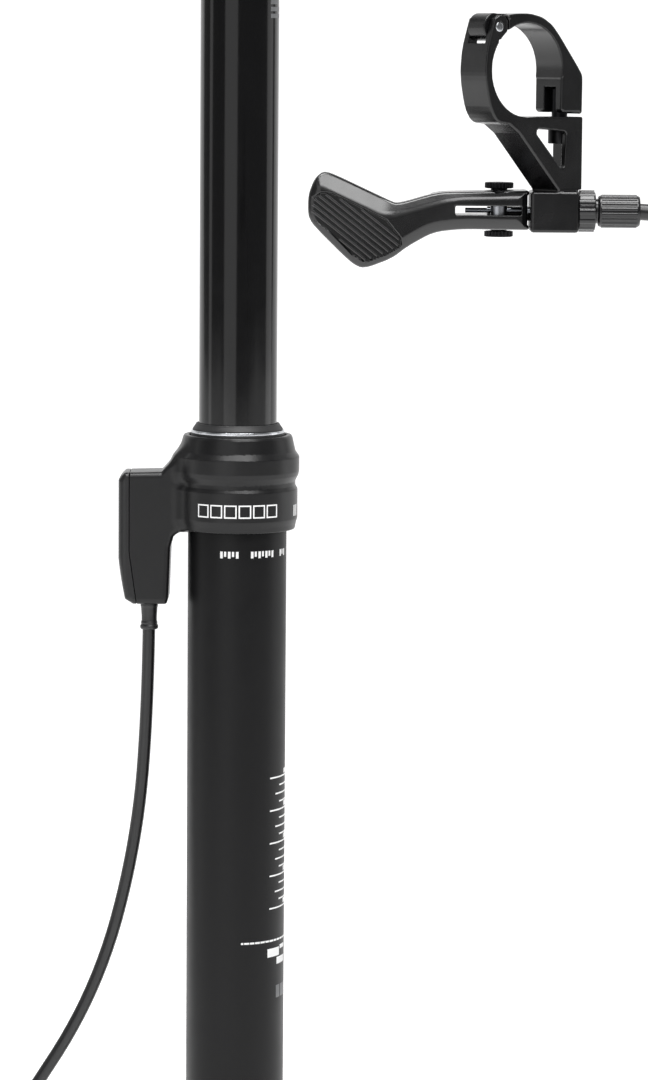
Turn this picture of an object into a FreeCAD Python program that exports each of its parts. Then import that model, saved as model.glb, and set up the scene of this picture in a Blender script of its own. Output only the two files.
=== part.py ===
# Height-adjustable bicycle seatpost with its bar-mounted thumb lever and the cable housing between them.
# Millimetres. Origin on the post's axis at the collar's lower shoulder; +Z up, -X towards the front wheel,
# -Y towards the bicycle's left side.
import FreeCAD, Part
import math
import os
import re
import Sketcher

Vector = FreeCAD.Vector
Rotation = FreeCAD.Rotation

doc = FreeCAD.newDocument("SeatpostWithLever")
sheet = doc.addObject("Spreadsheet::Sheet", "Dims")

# ---------------------------------------------------------------- driving dimensions
SIZES = {
    # fixed tube and what slides in it
    "post_dia": 30.9, "post_wall": 1.45, "post_below": 228.0, "post_socket": 10.0,
    "stanchion_dia": 24.34, "stanchion_wall": 1.6, "stanchion_head_gap": 10.0, "stanchion_tail": 62.0,
    "drop_travel": 125.0, "running_gap": 0.05, "seat_gap": 0.02,
    "post_neck": 0.25, "bush_tall": 40.0, "lower_bush_tall": 15.0, "rod_slot": 2.4,
    "key_count": 3, "key_wide": 2.0, "key_tall": 8.0, "key_deep": 0.6, "key_above_tail": 4.0,
    # collar: how far each of its bands stands out from the tube's surface, and how high each lies
    "foot_wall": 2.55, "band_wall": 3.35, "waist_wall": 2.95, "step_wall": 3.85, "crown_wall": 1.65,
    "collar_tall": 29.4, "band_low": 3.5, "band_high": 12.4, "waist_high": 14.9, "step_low": 18.6,
    "step_high": 22.4, "crown_low": 27.0, "wiper_seat": 22.0, "wiper_seat_step": 0.65,
    "wiper_lip": 1.0, "wiper_tall": 3.6, "ring_tall": 1.0, "ring_out": 2.43, "foam_tall": 2.0, "seal_tall": 3.7,
    # cable boss on the collar's front: reach, back, toe, cable and rocker are all from the tube's surface
    "boss_reach": 22.05, "boss_top": 17.7, "boss_foot": 23.6, "boss_wide": 15.0, "boss_round": 3.0,
    "boss_back": 5.25, "boss_taper": 9.3, "boss_toe": 19.45, "cover_deep": 4.0, "boss_wall": 2.9,
    "cable_out": 12.05, "housing_dia": 4.0, "ferrule_dia": 5.3, "ferrule_below": 8.6, "ferrule_in": 9.4,
    "cable_dia": 1.2, "nipple_dia": 2.2, "nipple_long": 4.0,
    # rocker and release rod
    "rocker_out": 5.05, "rocker_up": 13.0, "rocker_thick": 1.4, "rocker_wide": 4.4, "pin_dia": 2.0,
    "rod_dia": 1.2, "head_thick": 1.2, "head_gap": 0.15,
    # bottom of the post
    "plug_tall": 8.0, "plug_depth": 12.0, "cap_thick": 2.5, "valve_pivot": 7.0, "valve_lever_up": 7.0,
    "valve_lever_thick": 2.4, "valve_lever_wide": 3.2,
    # cartridge
    "shaft_dia": 8.0, "cartridge_gap": 1.17, "cartridge_wall": 1.4, "cartridge_long": 155.0,
    "cartridge_cap": 6.0, "valve_pin_dia": 2.3, "piston_top": 44.0, "piston_tall": 8.0, "bumper_tall": 4.5,
    "nut_tall": 5.0, "nut_flats": 13.0,
    # saddle clamp
    "rail_dia": 7.0, "rail_spread": 44.0, "rail_above": 28.0, "seat_trough": 18.0, "head_long": 62.0,
    "head_wide": 26.0, "clamp_long": 42.0, "clamp_half": 27.0, "bolt_out": 22.0, "bolt_dia": 5.0,
    "slot_long": 11.4, "ear_thick": 8.0, "ear_drop": 12.0, "washer_dia": 7.2, "barrel_dia": 8.0,
    # lever assembly: place of its pivot and of its cable line
    "lever_at_x": 69.1, "lever_at_y": -271.9, "lever_at_z": 110.5, "cable_line": 6.0,
    "block_near": 7.2, "block_far": 18.8, "block_top": 4.8, "block_bottom": 5.1, "block_front": 11.3,
    "block_rear": 2.5, "tongue_top": 0.7, "tongue_bottom": 2.6,
    "pivot_dia": 4.0, "disc_dia": 7.0, "disc_tall": 1.5, "bush_wall": 0.6,
    "coil_in": 2.62, "coil_thick": 0.56, "coil_wire": 0.5, "coil_pitch": 0.62, "coil_turns": 2,
    "locker_dia": 10.1, "locker_long": 4.2, "adjuster_dia": 8.1, "adjuster_long": 10.1, "adjuster_gap": 0.7,
    "thread_dia": 6.0, "barrel_end_dia": 4.1, "anchor_room": 0.8,
    # handlebar clamp
    "bar_dia": 22.2, "band_long": 9.8, "bar_up": 33.8, "bar_right": 2.7, "bar_front": 14.0,
    "hinge_out": 9.06, "hinge_up": 10.1, "hinge_pin_dia": 2.3, "knuckle_round": 3.3, "knuckle_wide": 6.0,
    "clamp_bolt_out": 14.2, "clamp_bolt_dia": 3.8,
}
CLAMP_TURN = 38.7          # degrees between the bar's axis and the lever's fore-and-aft axis

for row, (word, number) in enumerate(SIZES.items(), 1):
    sheet.set(f"A{row}", word)
    sheet.set(f"B{row}", str(number))
    sheet.setAlias(f"B{row}", word)
probe = doc.addObject("App::FeaturePython", "Probe")
probe.addProperty("App::PropertyFloat", "Reading")
doc.recompute()

NODES = []


# ---------------------------------------------------------------- small helpers
def in_sheet(formula):
    """A formula in the sheet's words, as FreeCAD wants it."""
    return re.sub(r"[a-z_]+", lambda word: "Dims." + word[0] if word[0] in SIZES else word[0], str(formula))


def size(formula):
    """The number that a formula gives now."""
    if isinstance(formula, (int, float)):
        return float(formula)
    probe.setExpression("Reading", in_sheet(formula))
    probe.recompute()
    return probe.Reading


def bind(thing, prop, formula):
    """Tie a property to the sheet, or set it when it is a plain number."""
    thing.setExpression(prop, in_sheet(formula))


def place(thing, at=(0, 0, 0), turn=None):
    """Put a thing at formulas for x, y and z."""
    thing.Placement = FreeCAD.Placement(Vector(*[size(f) for f in at]), turn or Rotation())
    for letter, formula in zip("xyz", at):
        if isinstance(formula, str):
            bind(thing, f"Placement.Base.{letter}", formula)
    return thing


ALONG = {"X": Rotation(Vector(0, 1, 0), 90), "Y": Rotation(Vector(1, 0, 0), -90), "Z": Rotation()}


def rod(name, radius, start, length, at=(0, 0), along="Z"):
    """A cylinder from start, along one axis; at holds its other two coordinates, in X, Y, Z order."""
    thing = doc.addObject("Part::Cylinder", name)
    bind(thing, "Radius", radius)
    bind(thing, "Height", length)
    spot = list(at)
    spot.insert("XYZ".index(along), start)
    return place(thing, spot, ALONG[along])


def box(name, x_span, y_span, z_span):
    """A box between two formulas on each axis."""
    thing = doc.addObject("Part::Box", name)
    for prop, (low, high) in zip(("Length", "Width", "Height"), (x_span, y_span, z_span)):
        bind(thing, prop, f"({high}) - ({low})")
    return place(thing, [x_span[0], y_span[0], z_span[0]])


def join(name, pieces):
    """Several touching solids as one."""
    thing = doc.addObject("Part::MultiFuse", name)
    thing.Shapes = pieces
    thing.Refine = True
    doc.recompute()
    return thing


def cut(name, solid, tools):
    """A solid with one or more tools taken away."""
    for count, tool in enumerate(tools):
        thing = doc.addObject("Part::Cut", name if count == len(tools) - 1 else f"{name}_cut_{count + 1}")
        thing.Base, thing.Tool = solid, tool
        thing.Refine = count == len(tools) - 1
        solid = thing
    doc.recompute()
    return solid


def common(name, first, second):
    """What two solids share."""
    thing = doc.addObject("Part::Common", name)
    thing.Base, thing.Tool = first, second
    doc.recompute()
    return thing


def rounded(name, solid, radius, wanted):
    """Fillets on the straight or curved edges that wanted picks."""
    doc.recompute()
    thing = doc.addObject("Part::Fillet", name)
    thing.Base = solid
    amount = size(radius)
    picked = [i for i, edge in enumerate(solid.Shape.Edges, 1) if wanted(edge)]
    thing.Edges = [(i, amount, amount) for i in picked]
    doc.recompute()
    return thing


def sketch_of(body, name, role, outline):
    """A closed outline of straight lines whose corners are bound to the sheet."""
    sketch = body.newObject("Sketcher::SketchObject", name)
    plane = next(f for f in body.Origin.OriginFeatures if f.Role == role)
    sketch.AttachmentSupport = (plane, [""])
    sketch.MapMode = "FlatFace"
    spots = [(size(a), size(b)) for a, b in outline]
    count = len(spots)
    for i, spot in enumerate(spots):
        after = spots[(i + 1) % count]
        sketch.addGeometry(Part.LineSegment(Vector(*spot, 0), Vector(*after, 0)), False)
    sketch.addConstraint([Sketcher.Constraint("Coincident", i, 2, (i + 1) % count, 1) for i in range(count)])
    for i, (pair, spot) in enumerate(zip(outline, spots)):
        for kind, formula, number in zip(("DistanceX", "DistanceY"), pair, spot):
            index = sketch.addConstraint(Sketcher.Constraint(kind, i, 1, number))
            bind(sketch, f"Constraints[{index}]", formula)
    return sketch


def turned(name, outline):
    """A body turned about Z from (radius, height) corners."""
    body = doc.addObject("PartDesign::Body", name)
    sketch = sketch_of(body, name + "_profile", "XZ_Plane", outline)
    turn = body.newObject("PartDesign::Revolution", name + "_turn")
    turn.Profile = sketch
    turn.ReferenceAxis = (sketch, ["V_Axis"])
    turn.Angle = 360
    doc.recompute()
    return body


def tube(name, outer, inner, low, high):
    """A plain ring between two heights."""
    return turned(name, [(inner, low), (outer, low), (outer, high), (inner, high)])


def plate(name, outline, depth, shift=0):
    """A body padded along Y from (x, z) corners, centred on y = shift."""
    body = doc.addObject("PartDesign::Body", name)
    sketch = sketch_of(body, name + "_outline", "XZ_Plane", outline)
    pad = body.newObject("PartDesign::Pad", name + "_pad")
    pad.Profile = sketch
    pad.SideType = "Symmetric"
    bind(pad, "Length", depth)
    place(body, (0, shift, 0))
    doc.recompute()
    return body


def node(name, thing):
    """Hand a finished piece in under its own name."""
    thing.Label = name
    NODES.append(thing)
    return thing


def polar(count, first=0.0):
    """Evenly spread angles in degrees."""
    return [first + 360.0 * i / count for i in range(int(count))]


# ---------------------------------------------------------------- fixed tube
TUBE = "post_dia / 2"
NECK = "post_dia / 2 - post_neck"
POST_BORE = "post_dia / 2 - post_wall"
STANCHION = "stanchion_dia / 2"
KEY_ROOT = "post_dia / 2 - post_wall + key_deep"
KEY_LOW = "-stanchion_tail + key_above_tail"
# the release rod hangs midway between the tube's bore and the stanchion
ROD_OUT = f"({POST_BORE} + {STANCHION}) / 2"

# the neck inside the collar is turned down a little, so the plain tube ends at the collar's foot
tube_blank = turned("tube_blank", [(POST_BORE, "-post_below"), (TUBE, "-post_below"), (TUBE, "0"), (NECK, "0"),
                                   (NECK, "post_socket"), (POST_BORE, "post_socket")])
key_ways = []
for angle in polar(size("key_count")):
    way = box("key_way", ("0", f"{KEY_ROOT} + running_gap"),
              ("-key_wide / 2 - running_gap", "key_wide / 2 + running_gap"),
              (f"{KEY_LOW} - drop_travel - 2", f"{KEY_LOW} + key_tall + 2"))
    # the way runs from the axis outwards, so turning it about Z keeps it centred
    turn = Rotation(Vector(0, 0, 1), angle)
    corner = turn.multVec(Vector(0, size("-key_wide / 2 - running_gap"), size(f"{KEY_LOW} - drop_travel - 2")))
    for letter in "xyz":
        way.setExpression(f"Placement.Base.{letter}", None)
    way.Placement = FreeCAD.Placement(corner, turn)
    key_ways.append(way)
node("outer_tube", cut("outer_tube", tube_blank, key_ways))

# upper guide bush, split where the release rod passes
bush_blank = tube("bush_blank", f"{POST_BORE} - seat_gap", f"{STANCHION} + running_gap",
                  "post_socket - bush_tall", "post_socket - 0.2")
bush_slot = box("bush_slot", ("-post_dia", "0"), ("-rod_slot / 2", "rod_slot / 2"), ("-post_below", "post_below"))
node("upper_bush", cut("upper_bush", bush_blank, [bush_slot]))

# ---------------------------------------------------------------- collar and cable boss
SEAT_R = f"{POST_BORE} + wiper_seat_step"
CROWN = f"{TUBE} + crown_wall"
STEP = f"{TUBE} + step_wall"
collar_ring = turned("collar_ring", [
    (f"{NECK} + seat_gap", "0"), (f"{TUBE} + foot_wall", "0"), (f"{TUBE} + foot_wall + 0.3", "band_low / 2"),
    (f"{TUBE} + band_wall", "band_low"), (f"{TUBE} + band_wall", "band_high"),
    (f"{TUBE} + waist_wall", "band_high + 1.2"), (f"{TUBE} + waist_wall", "waist_high"),
    (f"{STEP} - 0.3", "step_low - 1.2"), (STEP, "step_low"), (STEP, "step_high"),
    (f"({STEP} + {CROWN}) / 2", "(step_high + crown_low) / 2 - 0.4"), (f"{CROWN} + 0.4", "crown_low"),
    (CROWN, "collar_tall - 0.8"), (f"{CROWN} - 0.5", "collar_tall"), (SEAT_R, "collar_tall"),
    (SEAT_R, "wiper_seat"), (POST_BORE, "wiper_seat"), (POST_BORE, "post_socket + 0.2"),
    (f"{NECK} + seat_gap", "post_socket + 0.2")])

# the boss stands on the -X side, so its corners are the distances from the axis with a minus sign
BOSS_FACE = f"-({TUBE} + boss_reach)"
BOSS_TOE = f"-({TUBE} + boss_toe)"
BOSS_BACK = f"-({TUBE} + boss_back)"
CABLE_X = f"-({TUBE} + cable_out)"
ROCKER_X = f"-({TUBE} + rocker_out)"
boss_outline = [
    (BOSS_FACE, "-boss_taper"), (BOSS_TOE, "-boss_foot + 1.6"), (f"{BOSS_TOE} + 2.6", "-boss_foot"),
    (f"{BOSS_BACK} - 1.2", "-boss_foot"), (f"{BOSS_BACK} - 0.6", "-boss_foot + 1.8"), (BOSS_BACK, "-5.7"),
    (f"{BOSS_BACK} + 0.9", "-2.4"), (f"-({TUBE} + foot_wall) + 0.2", "-0.3"), (f"-({TUBE} + foot_wall) + 0.2", "0"),
    (f"-({TUBE}) - 0.3", "0"), (f"-({TUBE}) - 0.3", "step_high + 3"), (f"-({CROWN}) - 0.9", "step_high + 1.8"),
    (f"-({TUBE}) - 8.15", "boss_top + 0.3"), (f"{BOSS_FACE} + 2.5", "boss_top"), (BOSS_FACE, "boss_top - 2.2")]
boss_blank = plate("boss_blank", boss_outline, "boss_wide")
boss_soft = rounded("boss_soft", boss_blank, "boss_round", lambda e: (
    abs(e.Vertexes[0].Y - e.Vertexes[-1].Y) < 0.01
    and all(v.X < size(BOSS_TOE) - 1.0 for v in e.Vertexes)
    and abs(e.Vertexes[0].X - e.Vertexes[-1].X) < 0.01))
bore_clear = rod("bore_clear", f"{NECK} + seat_gap", "-post_below", "post_below * 2")
foot_clear = rod("foot_clear", f"{TUBE} + seat_gap", "-post_below", "post_below")
cover_side = box("cover_side", (f"{BOSS_FACE} - 5", f"{BOSS_FACE} + cover_deep"), ("-boss_wide", "boss_wide"),
                 ("-boss_foot - 5", "boss_top + 5"))
boss_rear = cut("boss_rear", boss_soft, [bore_clear, foot_clear, cover_side])
# room for the rocker, the way inwards to the release rod, and the ferrule's bore
ROOM_HALF = "boss_wide / 2 - boss_wall"
rocker_room = box("rocker_room", (BOSS_FACE, f"-({TUBE}) - 2.4"), (f"-({ROOM_HALF})", ROOM_HALF),
                  ("-5", "boss_top - 1.6"))
rocker_way = box("rocker_way", (f"-({TUBE}) - 3", "-10"), ("-rocker_wide / 2 - 0.5", "rocker_wide / 2 + 0.5"),
                 ("post_socket + 0.2", "post_socket + 8"))
ferrule_bore = rod("ferrule_bore", "ferrule_dia / 2 + seat_gap", "-boss_foot - 1", "ferrule_in + 1",
                   at=(CABLE_X, 0))
cable_bore = rod("cable_bore", "cable_dia / 2 + 0.4", "-boss_foot", "boss_foot", at=(CABLE_X, 0))
pin_bore = rod("pin_bore", "pin_dia / 2", "-boss_wide / 2 + 1.4", "boss_wide - 2.8",
               at=(ROCKER_X, "rocker_up"), along="Y")
collar_joined = join("collar_joined", [collar_ring, boss_rear])
seat_clear = rod("seat_clear", SEAT_R, "wiper_seat", "20")
inner_clear = rod("inner_clear", POST_BORE, "post_socket", "40")
node("collar", cut("collar", collar_joined, [rocker_room, rocker_way, ferrule_bore, cable_bore, pin_bore,
                                             seat_clear, inner_clear]))

cover_blank = common("cover_blank", boss_soft, cover_side)
cover_lip = box("cover_lip", (f"{BOSS_FACE} + cover_deep", f"{BOSS_FACE} + cover_deep + 1"),
                (f"-({ROOM_HALF}) + running_gap", f"{ROOM_HALF} - running_gap"),
                ("-5 + running_gap", "boss_top - 1.6 - running_gap"))
node("boss_cover", join("boss_cover", [cover_blank, cover_lip]))

# ---------------------------------------------------------------- seals in the collar's mouth
RUN = f"{STANCHION} + running_gap"
WIPER_LOW = "wiper_seat + foam_tall"
RING_LOW = "collar_tall + 0.5"
node("wiper_seal", turned("wiper_seal", [
    (RUN, WIPER_LOW), (f"{SEAT_R} - seat_gap", WIPER_LOW), (f"{SEAT_R} - seat_gap", RING_LOW),
    (f"{STANCHION} + 1.3", RING_LOW), (f"{STANCHION} + 1.3", "collar_tall + 0.5 + ring_tall"),
    (f"{STANCHION} + 1.9", "collar_tall + 0.5 + ring_tall"), (f"{STANCHION} + 1.9", "collar_tall + 1.9"),
    (f"{STANCHION} + wiper_lip", "collar_tall + wiper_tall - 0.5"),
    (f"{STANCHION} + wiper_lip * 0.8", "collar_tall + wiper_tall"), (RUN, "collar_tall + wiper_tall")]))
node("wiper_ring", tube("wiper_ring", f"{STANCHION} + ring_out", f"{STANCHION} + 1.3", RING_LOW,
                        "collar_tall + 0.5 + ring_tall"))
node("foam_ring", tube("foam_ring", f"{SEAT_R} - seat_gap", RUN, "wiper_seat", WIPER_LOW))
node("seal_ring", tube("seal_ring", f"{POST_BORE} - seat_gap", RUN, "wiper_seat - seal_tall", "wiper_seat"))

# ---------------------------------------------------------------- bottom of the post
PLUG_TOP = "-post_below + plug_depth + plug_tall"
PLUG_LOW = "-post_below + plug_depth"
VALVE_Z = "-post_below + valve_lever_up"
plug_blank = tube("plug_blank", f"{POST_BORE} - seat_gap", "shaft_dia / 2", PLUG_LOW, PLUG_TOP)
ears = [box("plug_ear", ("valve_pivot - 2.4", "valve_pivot + 2.4"), span,
            (f"{VALVE_Z} - 2.4", f"{PLUG_LOW} + 1"))
        for span in (("valve_lever_wide / 2 + 0.3", "valve_lever_wide / 2 + 2.8"),
                     ("-valve_lever_wide / 2 - 2.8", "-valve_lever_wide / 2 - 0.3"))]
plug_joined = join("plug_joined", [plug_blank] + ears)
plug_slot = box("plug_slot", ("-post_dia", f"-({ROD_OUT}) + rod_dia / 2 + 0.5"), ("-rod_slot / 2", "rod_slot / 2"),
                (f"{PLUG_LOW} - 1", f"{PLUG_TOP} + 1"))
ear_bore = rod("ear_bore", "pin_dia / 2", "-10", "20", at=("valve_pivot", VALVE_Z), along="Y")
node("bottom_plug", cut("bottom_plug", plug_joined, [plug_slot, ear_bore]))
node("end_cap", tube("end_cap", f"{POST_BORE} - seat_gap", "1.5", "-post_below", "-post_below + cap_thick"))
node("valve_lever_pin", rod("valve_lever_pin", "pin_dia / 2", "-valve_lever_wide / 2 - 2.8",
                            "valve_lever_wide + 5.6", at=("valve_pivot", VALVE_Z), along="Y"))

nut_blank = doc.addObject("Part::Prism", "nut_blank")
nut_blank.Polygon = 6
bind(nut_blank, "Circumradius", "nut_flats / sqrt(3)")
bind(nut_blank, "Height", "nut_tall")
place(nut_blank, (0, 0, PLUG_TOP))
nut_bore = rod("nut_bore", "shaft_dia / 2", PLUG_LOW, "50")
node("shaft_nut", cut("shaft_nut", nut_blank, [nut_bore]))

# ---------------------------------------------------------------- lift cartridge
node("cartridge_shaft", tube("cartridge_shaft", "shaft_dia / 2", "valve_pin_dia / 2 + running_gap",
                             PLUG_LOW, "-piston_top"))
CART_LOW = "-stanchion_tail + 2"
CART_OUT = f"{STANCHION} - stanchion_wall - cartridge_gap"
CART_IN = f"{CART_OUT} - cartridge_wall"
node("piston", tube("piston", f"{CART_IN} - running_gap", "shaft_dia / 2",
                    "-piston_top - piston_tall", "-piston_top"))
node("top_out_bumper", tube("top_out_bumper", f"{CART_IN} - 0.6", "shaft_dia / 2",
                            "-piston_top - piston_tall - bumper_tall", "-piston_top - piston_tall"))
node("cartridge_body", turned("cartridge_body", [
    (CART_IN, CART_LOW), (CART_OUT, CART_LOW), (CART_OUT, f"{CART_LOW} + cartridge_long"),
    ("0", f"{CART_LOW} + cartridge_long"), ("0", f"{CART_LOW} + cartridge_long - cartridge_cap"),
    (CART_IN, f"{CART_LOW} + cartridge_long - cartridge_cap")]))
node("cartridge_gland", tube("cartridge_gland", f"{CART_IN} - seat_gap", "shaft_dia / 2 + running_gap",
                             CART_LOW, f"{CART_LOW} + 3"))
node("cartridge_clip", tube("cartridge_clip", f"{STANCHION} - stanchion_wall - seat_gap",
                            f"{CART_OUT} - 3", "-stanchion_tail + 0.6", CART_LOW))
LEVER_TOP = f"{VALVE_Z} + valve_lever_thick / 2"
node("valve_pin", rod("valve_pin", "valve_pin_dia / 2", f"{LEVER_TOP} + 0.3",
                      f"-piston_top - 2 - ({LEVER_TOP} + 0.3)"))

# ---------------------------------------------------------------- stanchion
STANCHION_TOP = "collar_tall + wiper_tall + drop_travel + stanchion_head_gap"
stanchion_blank = tube("stanchion_blank", STANCHION, f"{STANCHION} - stanchion_wall",
                       "-stanchion_tail", STANCHION_TOP)
pockets, keys = [], []
for angle in polar(size("key_count")):
    for group, reach in ((pockets, "seat_gap"), (keys, "0")):
        piece = box("guide_key", (f"{STANCHION} - stanchion_wall + 0.4 - {reach}", KEY_ROOT),
                    (f"-key_wide / 2 - {reach}", f"key_wide / 2 + {reach}"),
                    (f"{KEY_LOW} - {reach}", f"{KEY_LOW} + key_tall + {reach}"))
        corner = piece.Placement.Base
        turn = Rotation(Vector(0, 0, 1), angle)
        for letter in "xyz":
            piece.setExpression(f"Placement.Base.{letter}", None)
        piece.Placement = FreeCAD.Placement(turn.multVec(corner), turn)
        group.append(piece)
node("inner_tube", cut("inner_tube", stanchion_blank, pockets))
key_group = doc.addObject("Part::Compound", "guide_keys")
key_group.Links = keys
doc.recompute()
node("guide_keys", key_group)

lower_blank = tube("lower_blank", f"{POST_BORE} - running_gap", f"{STANCHION} + seat_gap",
                   f"{KEY_LOW} + key_tall + 1", f"{KEY_LOW} + key_tall + 1 + lower_bush_tall")
lower_slot = box("lower_slot", ("-post_dia", "0"), ("-rod_slot / 2", "rod_slot / 2"), ("-post_below", "0"))
node("lower_bush", cut("lower_bush", lower_blank, [lower_slot]))

# head on the stanchion's top, with a trough for the tilting cradle
TILT_UP = f"{STANCHION_TOP} + rail_above"
TROUGH_LOW = f"{TILT_UP} - seat_trough"
EAR_TOP = f"{TILT_UP} - ear_drop"
head_plug = rod("head_plug", f"{STANCHION} - stanchion_wall - seat_gap", f"{STANCHION_TOP} - 20", "21")
head_neck = rod("head_neck", f"{STANCHION} + 0.3", STANCHION_TOP, "6")
head_outline = [
    ("-11.5", f"{STANCHION_TOP} + 2"), ("11.5", f"{STANCHION_TOP} + 2"), ("15", f"{EAR_TOP} - ear_thick"),
    ("head_long / 2", f"{EAR_TOP} - ear_thick"), ("head_long / 2", EAR_TOP), ("-head_long / 2", EAR_TOP),
    ("-head_long / 2", f"{EAR_TOP} - ear_thick"), ("-15", f"{EAR_TOP} - ear_thick")]
head_block = plate("head_block", head_outline, "head_wide")
head_joined = join("head_joined", [head_plug, head_neck, head_block])
trough = rod("trough", "seat_trough", "-head_wide", "head_wide * 2", at=(0, TILT_UP), along="Y")
bolt_slots = [
    box("bolt_slot", (f"{side} * bolt_out - slot_long / 2", f"{side} * bolt_out + slot_long / 2"),
        ("-bolt_dia / 2 - 0.3", "bolt_dia / 2 + 0.3"), (f"{EAR_TOP} - ear_thick - 1", f"{EAR_TOP} + 1"))
    for side in (1, -1)]
node("saddle_head", cut("saddle_head", head_joined, [trough] + bolt_slots))

# ---------------------------------------------------------------- saddle rail clamp
CRADLE_LOW = f"{EAR_TOP} + 4.5"
cradle_foot = rod("cradle_foot", "seat_trough - running_gap", "-head_wide / 2 + 0.1", "head_wide - 0.2",
                  at=(0, TILT_UP), along="Y")
foot_span = box("foot_span", ("-12", "12"), ("-head_wide", "head_wide"),
                (f"{TROUGH_LOW} - 2", f"{CRADLE_LOW} + 1"))
cradle_lower = common("cradle_lower", cradle_foot, foot_span)
cradle_bar = box("cradle_bar", ("-bolt_out - 4.5", "bolt_out + 4.5"), ("-8", "8"),
                 (CRADLE_LOW, f"{TILT_UP} - 0.5"))
cradle_wings = box("cradle_wings", ("-clamp_long / 2", "clamp_long / 2"), ("-clamp_half", "clamp_half"),
                   (CRADLE_LOW, f"{TILT_UP} - 0.5"))
cradle_joined = join("cradle_joined", [cradle_lower, cradle_bar, cradle_wings])


def rails(kind):
    """Two bars where the saddle's rails lie."""
    return [rod(f"{kind}_rail", "rail_dia / 2", "-100", "200", at=(f"{side} * rail_spread / 2", TILT_UP), along="X")
            for side in (1, -1)]


def bolt_bores(kind):
    """Two upright bores for the clamp's bolts."""
    return [rod(f"{kind}_bore", "bolt_dia / 2 + running_gap", TROUGH_LOW, "60", at=(f"{side} * bolt_out", 0))
            for side in (1, -1)]


node("lower_cradle", cut("lower_cradle", cradle_joined, rails("lower") + bolt_bores("lower")))

UPPER_TOP = f"{TILT_UP} + 9"
upper_outline = [("-bolt_out - 4.5", f"{TILT_UP} + 0.5"), ("bolt_out + 4.5", f"{TILT_UP} + 0.5"),
                 ("bolt_out + 4.5", f"{TILT_UP} + 6"), ("bolt_out", UPPER_TOP), ("-bolt_out", UPPER_TOP),
                 ("-bolt_out - 4.5", f"{TILT_UP} + 6")]
upper_bar = plate("upper_bar", upper_outline, "16")
upper_wings = box("upper_wings", ("-clamp_long / 2", "clamp_long / 2"), ("-clamp_half", "clamp_half"),
                  (f"{TILT_UP} + 0.5", f"{TILT_UP} + 5.6"))
upper_joined = join("upper_joined", [upper_bar, upper_wings])
NUT_UP = f"{UPPER_TOP} + 1"
nut_seats = [rod("nut_seat", "barrel_dia / 2", "-20", "40", at=(f"{side} * bolt_out", NUT_UP), along="Y")
             for side in (1, -1)]
node("upper_clamp", cut("upper_clamp", upper_joined, rails("upper") + bolt_bores("upper") + nut_seats))

WASHER_UP = f"{EAR_TOP} - ear_thick - washer_dia / 2 - 0.3"
for word, side in (("front", -1), ("rear", 1)):
    nut_bar = rod("nut_bar", "barrel_dia / 2", "-7.5", "15", at=(f"{side} * bolt_out", NUT_UP), along="Y")
    node(f"{word}_barrel_nut", cut(f"{word}_barrel_nut", nut_bar, [rod(
        "nut_thread", "bolt_dia / 2 + running_gap", TROUGH_LOW, "60", at=(f"{side} * bolt_out", 0))]))
    washer_bar = rod("washer_bar", "washer_dia / 2", "-5", "10", at=(f"{side} * bolt_out", WASHER_UP), along="Y")
    washer_flat = box("washer_flat", (f"{side} * bolt_out - 6", f"{side} * bolt_out + 6"), ("-8", "8"),
                      (f"{WASHER_UP} - 6", f"{WASHER_UP} - 0.8"))
    washer_bore = rod("washer_bore", "bolt_dia / 2", "100", "150", at=(f"{side} * bolt_out", 0))
    node(f"{word}_washer", cut(f"{word}_washer", washer_bar, [washer_flat, washer_bore]))
    HEAD_TOP = f"{WASHER_UP} - 0.8"
    shank = rod("shank", "bolt_dia / 2", f"{HEAD_TOP} - 1", f"{NUT_UP} + 5 - ({HEAD_TOP}) + 1",
                at=(f"{side} * bolt_out", 0))
    bolt_head = rod("bolt_head", "bolt_dia * 0.82", f"{HEAD_TOP} - 5", "5", at=(f"{side} * bolt_out", 0))
    socket = doc.addObject("Part::Prism", "socket")
    socket.Polygon = 6
    bind(socket, "Circumradius", "bolt_dia * 0.46")
    bind(socket, "Height", "3.5")
    place(socket, (f"{side} * bolt_out", 0, f"{HEAD_TOP} - 6"))
    node(f"{word}_bolt", cut(f"{word}_bolt", join("bolt_joined", [shank, bolt_head]), [socket]))

# ---------------------------------------------------------------- rocker, release rod and valve lever
TIP_TOP = "rocker_up + rocker_thick / 2"


def rocker_end(name, at_x, inwards, outwards, slot):
    """One end of the rocker: a rounded tip, and the slot for the rod or cable that hangs in it."""
    tip = rod(name + "_tip", "rocker_thick / 2", "-rocker_wide / 2", "rocker_wide", at=(at_x, "rocker_up"), along="Y")
    gap = box(name + "_slot", (f"{at_x} - {outwards}", f"{at_x} + {inwards}"), (f"-({slot}) / 2", f"({slot}) / 2"),
              ("rocker_up - 4", "rocker_up + 4"))
    return tip, gap


inner_tip, inner_gap = rocker_end("rocker_in", f"-({ROD_OUT})", 4, 2.6, "rod_dia + 0.5")
outer_tip, outer_gap = rocker_end("rocker_out", CABLE_X, 2.6, 4, "cable_dia + 0.5")
rocker_arm = box("rocker_arm", (CABLE_X, f"-({ROD_OUT})"), ("-rocker_wide / 2", "rocker_wide / 2"),
                 ("rocker_up - rocker_thick / 2", "rocker_up + rocker_thick / 2"))
rocker_hub = rod("rocker_hub", "pin_dia / 2 + 1.1", "-rocker_wide / 2", "rocker_wide",
                 at=(ROCKER_X, "rocker_up"), along="Y")
rocker_joined = join("rocker_joined", [rocker_arm, rocker_hub, inner_tip, outer_tip])
rocker_bore = rod("rocker_bore", "pin_dia / 2 + running_gap", "-20", "40", at=(ROCKER_X, "rocker_up"), along="Y")
node("rocker", cut("rocker", rocker_joined, [inner_gap, outer_gap, rocker_bore]))
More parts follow.
